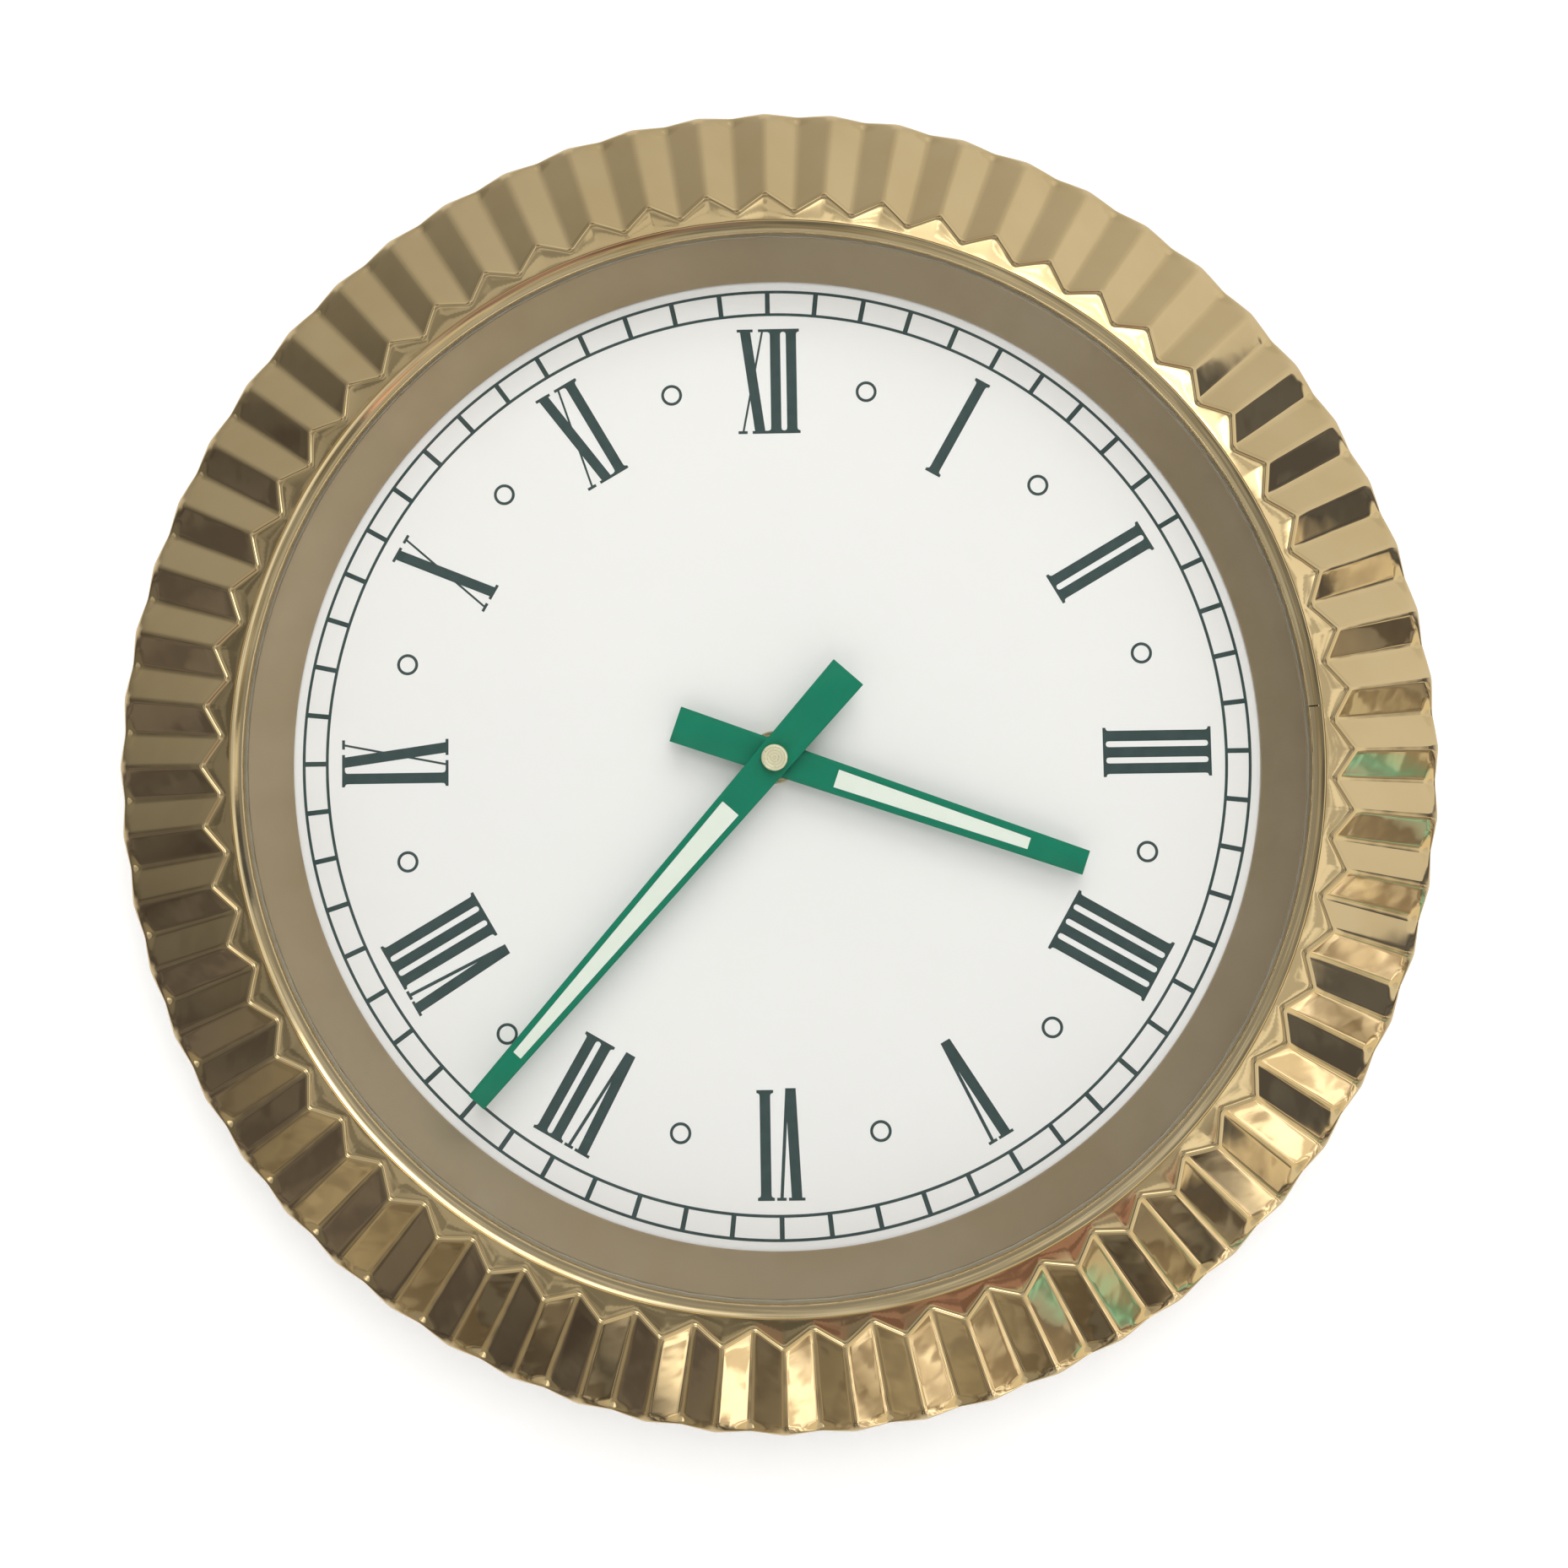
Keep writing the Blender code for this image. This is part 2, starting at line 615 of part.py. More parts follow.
def make_hanger(case):
    top = CASE_RECESS - GAP
    bottom = top - HANGER_THICKNESS
    half_width, half_height = HANGER_WIDTH / 2, HANGER_HEIGHT / 2
    middle = HANG_HEIGHT - NAIL_DROP / 2
    outline = rectangle(-half_width, middle - half_height, half_width, middle + half_height)
    hanger = plate("hanger_plate", [outline], bottom, top, steel)
    slot_half = NAIL_SLOT / 2
    slot = box("nail_slot", (-slot_half, HANG_HEIGHT - NAIL_DROP, bottom - 1),
               (slot_half, HANG_HEIGHT, top + 1))
    slot_end = cylinder("nail_slot_end", slot_half, bottom - 1, top + 1, None, 24,
                        place=(0.0, HANG_HEIGHT))
    head_hole = cylinder("nail_head_hole", NAIL_HEAD_HOLE / 2, bottom - 1, top + 1, None, 24,
                         place=(0.0, HANG_HEIGHT - NAIL_DROP))
    cut(hanger, slot, slot_end, head_hole)
    for number, side in enumerate((-1, 1), 1):
        place = (side * HANGER_SCREW_SPACING / 2, middle)
        hole = cylinder(f"hanger_hole_{number}", (HANGER_SCREW_SHANK + SHANK_CLEARANCE) / 2,
                        bottom - 1, case_floor_top + 1, None, 12, place=place)
        cut(hanger, hole)
        cut(case, hole)
        head_top = bottom - GAP / 2
        screw_profile = [
            (0.0, head_top + HANGER_SCREW_LENGTH),
            (HANGER_SCREW_SHANK / 2, head_top + HANGER_SCREW_LENGTH),
            (HANGER_SCREW_SHANK / 2, head_top),
            (HANGER_SCREW_HEAD / 2, head_top),
            (HANGER_SCREW_HEAD / 2, head_top - HANGER_SCREW_HEAD_HEIGHT / 2),
            (HANGER_SCREW_HEAD / 2 - HANGER_SCREW_DOME, head_top - HANGER_SCREW_HEAD_HEIGHT),
            (0.0, head_top - HANGER_SCREW_HEAD_HEIGHT),
        ]
        turned(f"hanger_screw_{number}", screw_profile, steel, 16, place=place)


def hand(name, size, underside, bore, inlay_name, parent):
    """A tapered bar pointing up the y axis, with a shallow pocket that holds the inlay."""
    tip, tail, tip_width, tail_width, start, end, start_width, end_width = size
    top = underside + HAND_THICKNESS
    bar = [(-tail_width / 2, -tail), (tail_width / 2, -tail), (tip_width / 2, tip),
           (-tip_width / 2, tip)]
    made = plate(name, [bar, circle(bore, 24)], underside, top, hand_paint, parent)
    pocket = [(-start_width / 2, start), (start_width / 2, start), (end_width / 2, end),
              (-end_width / 2, end)]
    cut(made, plate(name + "_pocket", [pocket], top - POCKET_DEPTH, top + 1, None, parent))
    g = POCKET_GAP
    fill = [(-start_width / 2 + g, start + g), (start_width / 2 - g, start + g),
            (end_width / 2 - g, end - g), (-end_width / 2 + g, end - g)]
    plate(inlay_name, [fill], top - POCKET_DEPTH + g, top, inlay_paint, parent)
    return made


def make_hands(hour_axis, minute_axis):
    hour_underside = dial_face + HOUR_HAND_HEIGHT
    minute_underside = dial_face + MINUTE_HAND_HEIGHT
    hour_size = (hour_tip, HOUR_TAIL, HOUR_TIP_WIDTH, HOUR_TAIL_WIDTH, HOUR_INLAY_START,
                 hour_tip - HOUR_INLAY_MARGIN, HOUR_INLAY_START_WIDTH, HOUR_INLAY_END_WIDTH)
    minute_size = (minute_tip, MINUTE_TAIL, MINUTE_TIP_WIDTH, MINUTE_TAIL_WIDTH,
                   MINUTE_INLAY_START, minute_tip - MINUTE_INLAY_MARGIN,
                   MINUTE_INLAY_START_WIDTH, MINUTE_INLAY_END_WIDTH)
    hour_bore = HOUR_TUBE_RADIUS + BORE_CLEARANCE
    minute_bore = MINUTE_ARBOR_RADIUS + BORE_CLEARANCE
    hand("hour_hand", hour_size, hour_underside, hour_bore, "hour_hand_inlay", hour_axis)
    hand("minute_hand", minute_size, minute_underside, minute_bore, "minute_hand_inlay", minute_axis)
    ring("hour_hand_collet", hour_bore, COLLET_RADIUS, hour_underside - GAP / 2 - COLLET_HEIGHT,
         hour_underside - GAP / 2, brass, 24, hour_axis)
    ring("minute_hand_bush", minute_bore, BUSH_RADIUS, minute_underside - GAP / 2 - BUSH_HEIGHT,
         minute_underside - GAP / 2, brass, 24, minute_axis)
    cap_bottom = minute_underside + HAND_THICKNESS + GAP / 2
    cap_top = cap_bottom + CAP_HEIGHT
    bore = ARBOR_TIP_RADIUS + BORE_CLEARANCE
    bevel = CAP_RADIUS / 8
    cap = [
        (0.0, cap_top),
        (CAP_RADIUS - bevel, cap_top),
        (CAP_RADIUS, cap_top - bevel),
        (CAP_RADIUS, cap_bottom),
        (bore, cap_bottom),
        (bore, cap_bottom + CAP_BORE_DEPTH),
        (0.0, cap_bottom + CAP_BORE_DEPTH),
    ]
    turned("cap_nut", cap, brass, 32, minute_axis)


def gear_outline(teeth, module, tooth_at):
    """Straight-sided teeth, thinner than half a pitch so that they never bind."""
    pitch = module * teeth / 2
    root, tip = pitch - 0.95 * module, pitch + 0.72 * module
    step = 2 * math.pi / teeth
    points = []
    for i in range(teeth):
        middle = tooth_at + i * step
        for radius, share in ((root, -0.27), (tip, -0.085), (tip, 0.085), (root, 0.27)):
            angle = middle + share * step
            points.append((radius * math.cos(angle), radius * math.sin(angle)))
    return points


def meshed(teeth, tooth_at, direction, other_teeth):
    """Where the driven gear's tooth stands so that it drops into the driver's gap."""
    offset = math.pi - teeth * (tooth_at - direction)
    return direction + math.pi + offset / other_teeth


def heading(start, end):
    return math.atan2(end.y - start.y, end.x - start.x)


def gear(name, teeth, module, tooth_at, bottom, finish=None, parent=None, thickness=WHEEL_THICKNESS):
    outline = gear_outline(teeth, module, tooth_at)
    return plate(name, [outline], bottom, bottom + thickness, finish, parent)


def arbor_piece(name, axis, wheel, pinion, shaft, finish=gear_plastic):
    """One moulded wheel, its pinion and its arbor. Each gear is (teeth, module, tooth, z0, z1)."""
    teeth, module, tooth_at, low, high = wheel
    body = gear(name, teeth, module, tooth_at, low, finish, axis, high - low)
    teeth, module, tooth_at, low, high = pinion
    leaves = gear(name + "_leaves", teeth, module, tooth_at, low, None, axis, high - low)
    low, high = shaft
    rod = cylinder(name + "_rod", PIVOT_RADIUS, low, high, None, 10, axis)
    return join(body, leaves, rod)


def make_train(axes):
    wheel = WHEEL_THICKNESS
    intermediate_z = train_floor + INTERMEDIATE_LEVEL
    second_z = intermediate_z + wheel + SECOND_STEP
    stator_z = second_z + wheel + GAP
    third_z = stator_z + STATOR_THICKNESS + GAP
    centre_z = third_z + wheel + CENTRE_STEP
    cannon_z = centre_z + wheel + CANNON_STEP
    minute_wheel_z = cannon_z + MINUTE_WHEEL_STEP
    hour_wheel_z = cannon_z + HOUR_WHEEL_STEP

    # Tooth places: each driver's first tooth lies along x, each driven gear is set to mesh with it
    to_third = heading(third_at, centre_at)
    centre_tooth = meshed(PINION_TEETH, 0.0, to_third, CENTRE_TEETH)
    third_tooth = meshed(PINION_TEETH, 0.0, heading(second_at, third_at), THIRD_TEETH)
    second_tooth = meshed(PINION_TEETH, 0.0, heading(intermediate_at, second_at), SECOND_TEETH)
    intermediate_tooth = meshed(PINION_TEETH, 0.0, heading(rotor_at, intermediate_at),
                                INTERMEDIATE_TEETH)
    minute_wheel_tooth = meshed(CANNON_TEETH, 0.0, heading(centre_at, minute_wheel_at),
                                MINUTE_WHEEL_TEETH)
    knob_tooth = meshed(MINUTE_WHEEL_TEETH, minute_wheel_tooth, heading(minute_wheel_at, knob_at),
                        CANNON_TEETH)
    hour_tooth = meshed(MINUTE_PINION_TEETH, 0.0, heading(minute_wheel_at, centre_at),
                        HOUR_WHEEL_TEETH)
    low_pivot = train_floor + GAP
    high_pivot = cover_back - GAP

    # Rotor: a magnet on a six-leaf pinion
    rotor = cylinder("rotor", ROTOR_MAGNET_RADIUS, second_z, stator_z + STATOR_THICKNESS, iron, 24,
                     axes["rotor"])
    leaves_foot = intermediate_z - ROTOR_LEAF_RISE
    leaves = gear("rotor_leaves", PINION_TEETH, INTERMEDIATE_MODULE, 0.0, leaves_foot, None,
                  axes["rotor"], second_z + LEAF_RISE - leaves_foot)
    rod = cylinder("rotor_rod", PIVOT_RADIUS, low_pivot, second_z, None, 10, axes["rotor"])
    join(rotor, leaves, rod)

    arbor_piece("intermediate_wheel", axes["intermediate"],
                (INTERMEDIATE_TEETH, INTERMEDIATE_MODULE, intermediate_tooth, intermediate_z,
                 intermediate_z + wheel),
                (PINION_TEETH, SECOND_MODULE, 0.0, intermediate_z + wheel - LEAF_OVERLAP, second_z + wheel),
                (low_pivot, high_pivot))
    arbor_piece("second_wheel", axes["second"],
                (SECOND_TEETH, SECOND_MODULE, second_tooth, second_z, second_z + wheel),
                (PINION_TEETH, THIRD_MODULE, 0.0, second_z + wheel - LEAF_OVERLAP,
                 third_z + wheel + LEAF_RISE),
                (low_pivot, high_pivot))
    arbor_piece("third_wheel", axes["third"],
                (THIRD_TEETH, THIRD_MODULE, third_tooth, third_z, third_z + wheel),
                (PINION_TEETH, CENTRE_MODULE, 0.0, third_z + wheel - LEAF_OVERLAP,
                 centre_z + wheel + LEAF_RISE),
                (low_pivot, high_pivot))

    # Centre wheel: rides on the minute arbor and drives it through friction
    bore = MINUTE_ARBOR_RADIUS + BORE_CLEARANCE / 2
    centre_outline = gear_outline(CENTRE_TEETH, CENTRE_MODULE, centre_tooth)
    plate("centre_wheel", [centre_outline, circle(bore, 24)], centre_z, centre_z + wheel,
          gear_plastic, axes["centre"])

    # Minute arbor with its cannon pinion and the threaded tip for the cap nut
    minute_top = dial_face + MINUTE_HAND_HEIGHT + HAND_THICKNESS
    arbor = [
        (0.0, minute_top + CAP_BORE_DEPTH - GAP / 2),
        (ARBOR_TIP_RADIUS, minute_top + CAP_BORE_DEPTH - GAP / 2),
        (ARBOR_TIP_RADIUS, minute_top),
        (MINUTE_ARBOR_RADIUS, minute_top),
        (MINUTE_ARBOR_RADIUS, centre_z - GAP),
        (2 * MINUTE_ARBOR_RADIUS, centre_z - GAP),
        (2 * MINUTE_ARBOR_RADIUS, centre_z - GAP - ARBOR_SHOULDER),
        (PIVOT_RADIUS, centre_z - GAP - ARBOR_SHOULDER),
        (PIVOT_RADIUS, low_pivot),
        (0.0, low_pivot),
    ]
    arbor_body = turned("minute_arbor", arbor, brass, 24, axes["minute"])
    cannon = gear("cannon_leaves", CANNON_TEETH, MOTION_MODULE, 0.0, cannon_z, None, axes["minute"],
                  CANNON_HEIGHT)
    join(arbor_body, cannon)

    arbor_piece("minute_wheel", axes["minute_wheel"],
                (MINUTE_WHEEL_TEETH, MOTION_MODULE, minute_wheel_tooth, minute_wheel_z,
                 minute_wheel_z + wheel),
                (MINUTE_PINION_TEETH, hour_module, 0.0, minute_wheel_z + wheel - LEAF_OVERLAP,
                 hour_wheel_z + wheel),
                (centre_z + wheel + GAP, high_pivot))

    # Hour wheel: its tube runs up through the post and carries the hour hand
    tube_bore = MINUTE_ARBOR_RADIUS + BORE_CLEARANCE
    hour_outline = gear_outline(HOUR_WHEEL_TEETH, hour_module, hour_tooth)
    hour = plate("hour_wheel", [hour_outline, circle(tube_bore, 24)], hour_wheel_z,
                 hour_wheel_z + wheel, gear_plastic, axes["hour"])
    tube_top = dial_face + HOUR_HAND_HEIGHT + HAND_THICKNESS + GAP / 2
    tube = ring("hour_tube", tube_bore, HOUR_TUBE_RADIUS, hour_wheel_z, tube_top, None, 24, axes["hour"])
    join(hour, tube)

    # Setting knob: behind the case, geared to the minute wheel
    knob_bottom = movement_back - GAP - KNOB_HEIGHT
    knob = turned("setting_knob", [
        (0.0, movement_back - GAP),
        (KNOB_RADIUS, movement_back - GAP),
        (KNOB_RADIUS, knob_bottom),
        (0.0, knob_bottom),
    ], gear_plastic, 24, axes["knob"])
    stem = cylinder("knob_stem", KNOB_STEM_RADIUS, movement_back - GAP - LEAF_RISE, high_pivot, None,
                    12, axes["knob"])
    leaves = gear("knob_leaves", CANNON_TEETH, MOTION_MODULE, knob_tooth, minute_wheel_z, None,
                  axes["knob"], wheel)
    join(knob, stem, leaves)
    slot = box("knob_slot", (-KNOB_RADIUS - 1, -KNOB_SLOT / 2, knob_bottom - 1),
               (KNOB_RADIUS + 1, KNOB_SLOT / 2, knob_bottom + KNOB_SLOT_DEPTH), None, axes["knob"])
    cut(knob, slot)
    return stator_z


def make_motor(stator_z):
    """Stator, coil, board and crystal, at the upper side of the movement."""
    hole_radius = ROTOR_MAGNET_RADIUS + STATOR_AIR_GAP
    arm_middle = movement_inside - COIL_RADIUS - GAP
    left = rotor_at.x - hole_radius - STATOR_FOOT - COIL_LENGTH - 2 * BOBBIN_FLANGE
    right = rotor_at.x + hole_radius + STATOR_RIM
    coil_left = left + COIL_STANDOFF
    coil_right = coil_left + COIL_LENGTH + 2 * BOBBIN_FLANGE
    window_bottom = arm_middle - COIL_RADIUS - STATOR_WINDOW_ROOM
    foot = window_bottom - STATOR_FOOT
    rim = hole_radius + STATOR_RIM
    outline = [
        (left, foot),
        (rotor_at.x - rim, foot),
        (rotor_at.x - rim, rotor_at.y - rim),
        (right, rotor_at.y - rim),
        (right, arm_middle + STATOR_ARM_HALF),
        (left, arm_middle + STATOR_ARM_HALF),
    ]
    window = rectangle(coil_left - GAP, window_bottom, coil_right + GAP, arm_middle - STATOR_ARM_HALF)
    plate("stator", [outline, window, circle(hole_radius, 32, place=rotor_at)], stator_z,
          stator_z + STATOR_THICKNESS, iron)
    middle_z = stator_z + STATOR_THICKNESS / 2
    core_y, core_z = STATOR_ARM_HALF + BORE_CLEARANCE, STATOR_THICKNESS / 2 + BORE_CLEARANCE
    tube_y, tube_z = core_y + BOBBIN_WALL, core_z + BOBBIN_WALL
    bobbin = box("coil_bobbin", (coil_left, arm_middle - tube_y, middle_z - tube_z),
                 (coil_right, arm_middle + tube_y, middle_z + tube_z), black_plastic)
    for name, start in (("near", coil_left), ("far", coil_right - BOBBIN_FLANGE)):
        flange = box("bobbin_flange_" + name, (start, arm_middle - COIL_RADIUS, middle_z - COIL_RADIUS),
                     (start + BOBBIN_FLANGE, arm_middle + COIL_RADIUS, middle_z + COIL_RADIUS))
        join(bobbin, flange)
    cut(bobbin, box("bobbin_bore", (coil_left - 1, arm_middle - core_y, middle_z - core_z),
                    (coil_right + 1, arm_middle + core_y, middle_z + core_z)))
    wind_low, wind_high = coil_left + BOBBIN_FLANGE + GAP / 2, coil_right - BOBBIN_FLANGE - GAP / 2
    half = COIL_RADIUS - GAP
    winding = cylinder("coil_winding", half, wind_low, wind_high, copper, 20)
    winding.rotation_euler = (0.0, math.radians(90), 0.0)
    winding.location = Vector((0.0, arm_middle, middle_z)) * MM
    inner_y, inner_z = tube_y + GAP / 3, tube_z + GAP / 3
    cut(winding, box("winding_bore", (wind_low - 1, arm_middle - inner_y, middle_z - inner_z),
                     (wind_high + 1, arm_middle + inner_y, middle_z + inner_z)))

    board_z = train_floor + GAP
    board_top_z = board_z + BOARD_THICKNESS
    board_left = -movement_inside + GAP
    board_bottom, board_top = knob_at.y + BOARD_ROOM, window_bottom - BOARD_ROOM
    box("circuit_board", (board_left, board_bottom, board_z), (BOARD_RIGHT, board_top, board_top_z),
        board_green)
    chip_at = Vector(((board_left + BOARD_RIGHT) / 2, (board_bottom + board_top) / 2))
    chip_bottom = board_top_z + GAP / 2
    turned("chip", [
        (0.0, chip_bottom + CHIP_HEIGHT),
        (0.6 * CHIP_RADIUS, chip_bottom + 0.75 * CHIP_HEIGHT),
        (CHIP_RADIUS, chip_bottom + 0.2 * CHIP_HEIGHT),
        (CHIP_RADIUS, chip_bottom),
        (0.0, chip_bottom),
    ], black_plastic, 16, place=chip_at)
    crystal = cylinder("quartz_crystal", CRYSTAL_RADIUS, -CRYSTAL_LENGTH / 2, CRYSTAL_LENGTH / 2, steel, 16)
    crystal.rotation_euler = (0.0, math.radians(90), 0.0)
    crystal_z = board_top_z + GAP / 2 + CRYSTAL_RADIUS
    crystal_x = chip_at.x - CHIP_RADIUS - GAP / 2 - CRYSTAL_LENGTH / 2
    crystal.location = Vector((crystal_x, chip_at.y, crystal_z)) * MM


def make_movement_case():
    half = MOVEMENT_SIZE / 2
    inside = movement_inside
    base = box("movement_base", (-half, -half, movement_back), (half, half, base_front),
               movement_plastic)
    train_space = box("train_space", (-inside, partition_y + MOVEMENT_WALL, train_floor),
                      (inside, inside, base_front + 1))
    bay = box("battery_bay", (-bay_half, -inside, movement_back - 1),
              (bay_half, partition_y, base_front + 1))
    knob_hole = cylinder("knob_hole", KNOB_STEM_RADIUS + BORE_CLEARANCE, movement_back - 1,
                         train_floor + 1, None, 16, place=knob_at)
    cut(base, train_space, bay, knob_hole)
    plate("movement_cover", [rectangle(-half, -half, half, half), circle(POST_RADIUS + GAP, 32)],
          cover_back, movement_front, movement_plastic)
    post = [
        (POST_BORE, post_top),
        (POST_RADIUS - POST_CHAMFER, post_top),
        (POST_RADIUS, post_top - POST_CHAMFER),
        (POST_RADIUS, movement_front + GAP + POST_FLANGE / 2),
        (POST_FLANGE_RADIUS, movement_front + GAP + POST_FLANGE / 2),
        (POST_FLANGE_RADIUS, movement_front + GAP / 2),
        (POST_RADIUS, movement_front + GAP / 2),
        (POST_RADIUS, cover_back),
        (POST_BORE, cover_back),
    ]
    turned("threaded_post", post, brass, 32)
    ring("rubber_gasket", POST_FLANGE_RADIUS + GAP, SOFT_WASHER_RADIUS, movement_front + GAP,
         dial_back - GAP, rubber, 32)
    washer_top = dial_face + GAP / 2 + WASHER_THICKNESS
    ring("post_washer", POST_RADIUS + BORE_CLEARANCE, WASHER_RADIUS, dial_face + GAP / 2, washer_top,
         brass, 40)
    nut_radius = NUT_FLATS / math.sqrt(3)
    nut_bottom = washer_top + GAP / 3
    plate("hex_nut", [circle(nut_radius, 6), circle(POST_RADIUS + BORE_CLEARANCE / 2, 32)], nut_bottom,
          nut_bottom + NUT_HEIGHT, brass)


def make_battery():
    """Battery between its contacts: a flat blade at the right and a spring at the left."""
    half = BATTERY_LENGTH / 2
    body = [
        (0.0, half + BATTERY_NUB_LENGTH),
        (BATTERY_NUB_RADIUS, half + BATTERY_NUB_LENGTH),
        (BATTERY_NUB_RADIUS, half),
        (BATTERY_RADIUS - BATTERY_EDGE, half),
        (BATTERY_RADIUS, half - BATTERY_EDGE),
        (BATTERY_RADIUS, -half + BATTERY_EDGE),
        (BATTERY_RADIUS - BATTERY_EDGE, -half),
        (0.0, -half),
    ]
    blade_out = bay_half - GAP / 2
    blade_in = blade_out - CONTACT_THICKNESS
    shift = blade_in - GAP / 2 - BATTERY_NUB_LENGTH - half
    cell = turned("battery", body, battery_wrap, 32)
    cell.rotation_euler = (0.0, math.radians(90), 0.0)
    cell.location = Vector((shift, battery_y, battery_z)) * MM
    blade_half = BATTERY_RADIUS - BLADE_MARGIN
    low_y, high_y = battery_y - blade_half, battery_y + blade_half
    low_z, high_z = battery_z - blade_half, battery_z + blade_half
    box("contact_positive", (blade_in, low_y, low_z), (blade_out, high_y, high_z), steel)
    blade = box("contact_negative", (-blade_out, low_y, low_z), (-blade_in, high_y, high_z), steel)
    root = -(blade_in + blade_out) / 2
    tip = shift - half - GAP / 2
    cone = turned("contact_spring", [
        (0.0, tip),
        (SPRING_TIP_RADIUS, tip),
        (SPRING_ROOT_RADIUS, root),
        (0.0, root),
    ], None, 20)
    cone.rotation_euler = (0.0, math.radians(90), 0.0)
    cone.location = Vector((0.0, battery_y, battery_z)) * MM
    join(blade, cone)


make_trim_ring()
make_front_stack()
make_hanger(make_rear_case(make_bezel()))
make_movement_case()

hour_axis = empty("hour_axis", centre_at, clock_axis)
minute_axis = empty("minute_axis", centre_at, clock_axis)
arbor_axes = {
    "hour": hour_axis,
    "minute": minute_axis,
    "centre": empty("centre_axis", centre_at, clock_axis),
    "minute_wheel": empty("minute_wheel_axis", minute_wheel_at, clock_axis),
    "knob": empty("knob_axis", knob_at, clock_axis),
    "third": empty("third_axis", third_at, clock_axis),
    "second": empty("second_axis", second_at, clock_axis),
    "intermediate": empty("intermediate_axis", intermediate_at, clock_axis),
    "rotor": empty("rotor_axis", rotor_at, clock_axis),
}
hour_pointer = empty("hour_pointer", centre_at, hour_axis)
hour_pointer.rotation_euler = (0.0, 0.0, math.radians(-HOUR_ANGLE))
minute_pointer = empty("minute_pointer", centre_at, minute_axis)
minute_pointer.rotation_euler = (0.0, 0.0, math.radians(-MINUTE_ANGLE))
make_hands(hour_pointer, minute_pointer)
make_motor(make_train(arbor_axes))
make_battery()
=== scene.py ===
"""Looks for the fluted wall clock: finer meshes, printed dial, materials, light and camera.

The clock's own frame is used throughout, in millimetres: x to the right, y towards twelve o'clock
and z out of the wall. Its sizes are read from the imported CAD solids.
"""

import json
import math
import random

import bmesh
import bpy
from mathutils import Matrix, Vector


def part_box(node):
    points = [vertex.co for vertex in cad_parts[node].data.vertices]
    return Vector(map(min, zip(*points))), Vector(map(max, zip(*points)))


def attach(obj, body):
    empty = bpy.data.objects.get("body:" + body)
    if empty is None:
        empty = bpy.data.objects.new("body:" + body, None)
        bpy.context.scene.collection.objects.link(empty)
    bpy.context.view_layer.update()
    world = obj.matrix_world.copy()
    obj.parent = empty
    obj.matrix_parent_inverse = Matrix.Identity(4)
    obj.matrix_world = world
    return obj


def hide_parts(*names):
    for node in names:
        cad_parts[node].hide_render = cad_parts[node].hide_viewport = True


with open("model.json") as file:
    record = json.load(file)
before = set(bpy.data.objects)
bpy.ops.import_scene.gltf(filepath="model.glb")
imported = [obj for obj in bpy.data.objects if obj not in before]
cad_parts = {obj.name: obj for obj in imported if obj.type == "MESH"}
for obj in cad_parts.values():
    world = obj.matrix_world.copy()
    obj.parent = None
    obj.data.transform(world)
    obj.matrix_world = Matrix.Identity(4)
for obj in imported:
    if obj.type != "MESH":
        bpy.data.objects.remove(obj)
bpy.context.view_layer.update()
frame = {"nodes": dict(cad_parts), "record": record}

MM = 0.001
nodes = frame["nodes"]
BODIES = frame["record"]["behaviour"]["bodies"]

# The dial's centre on the wall, from the lens, and the turn that stands the clock's frame up
lens_low, lens_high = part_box("lens")
CENTRE = Vector(((lens_low.x + lens_high.x) / 2, 0.0, (lens_low.z + lens_high.z) / 2))
STAND = Matrix.Translation(CENTRE) @ Matrix.Rotation(math.radians(90), 4, "X")


def depth_span(node):
    """Lowest and highest depth of a CAD node above the wall, in millimetres."""
    low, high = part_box(node)
    return -high.y / MM, -low.y / MM


def outer_radius(node):
    low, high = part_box(node)
    return (high.x - low.x) / 2 / MM


# Sizes read from the frame
DIAL_FACE = depth_span("dial")[1]
BEZEL_BOTTOM, CREST_DEPTH = depth_span("bezel")
BEZEL_RADIUS = outer_radius("bezel")
TRIM_BOTTOM, TRIM_TOP = depth_span("trim_ring")
TRIM_RADIUS = outer_radius("trim_ring")
CHAPTER_BOTTOM, CHAPTER_TOP = depth_span("chapter_ring")
CHAPTER_RADIUS = outer_radius("chapter_ring")

# Bezel's shape, as the CAD bezel has it
FLUTES = 60
RIM_DEPTH = 26.0
CREST_RADIUS = 144.0
FLUTE_DROP = 3.95
SKIRT_DRAFT = 2.0
INNER_CONE_FALL = 2.8
COLLAR_LENGTH = 13.0
COLLAR_INSET = 0.6  # from the trim ring's edge
SHEET = 1.2

# Bezel's finer shape
FLUTE_END = 3.2  # from the end of a flute to the rim
RIM_SET = 1.1  # from the top of the skirt to the rim's depth
RIM_RIPPLE = 0.35  # how far the rim follows a flute's fold
SKIRT_FOOT = 8.0  # height of the plain band at the skirt's foot
UNDERSIDE = 1.7  # from the mirrored face down to its back
COLLAR_UNDERSIDE = 1.6
RIM_ROUND, FLUTE_END_ROUND, CREST_ROUND, COLLAR_ROUND = 1.5, 1.2, 1.3, 0.9
FLUTE_PARTS = 8  # a flute's length is split into these
FOLD_SOFTNESS = 0.125  # share of a flute's side that curves at each end
UNEVENNESS = 0.04  # how far a flute's side may bulge or sink

# Trim and chapter rings
OPENING_RADIUS = 134.1
TRIM_WALL = 0.9
TRIM_FLANGE = 0.9
TRIM_LIP = 1.6
SEAM_ANGLE = 85.4
SEAM_WIDTH = 0.3
CHAPTER_INNER_RADIUS = 125.1
CHAPTER_EDGE = 0.6

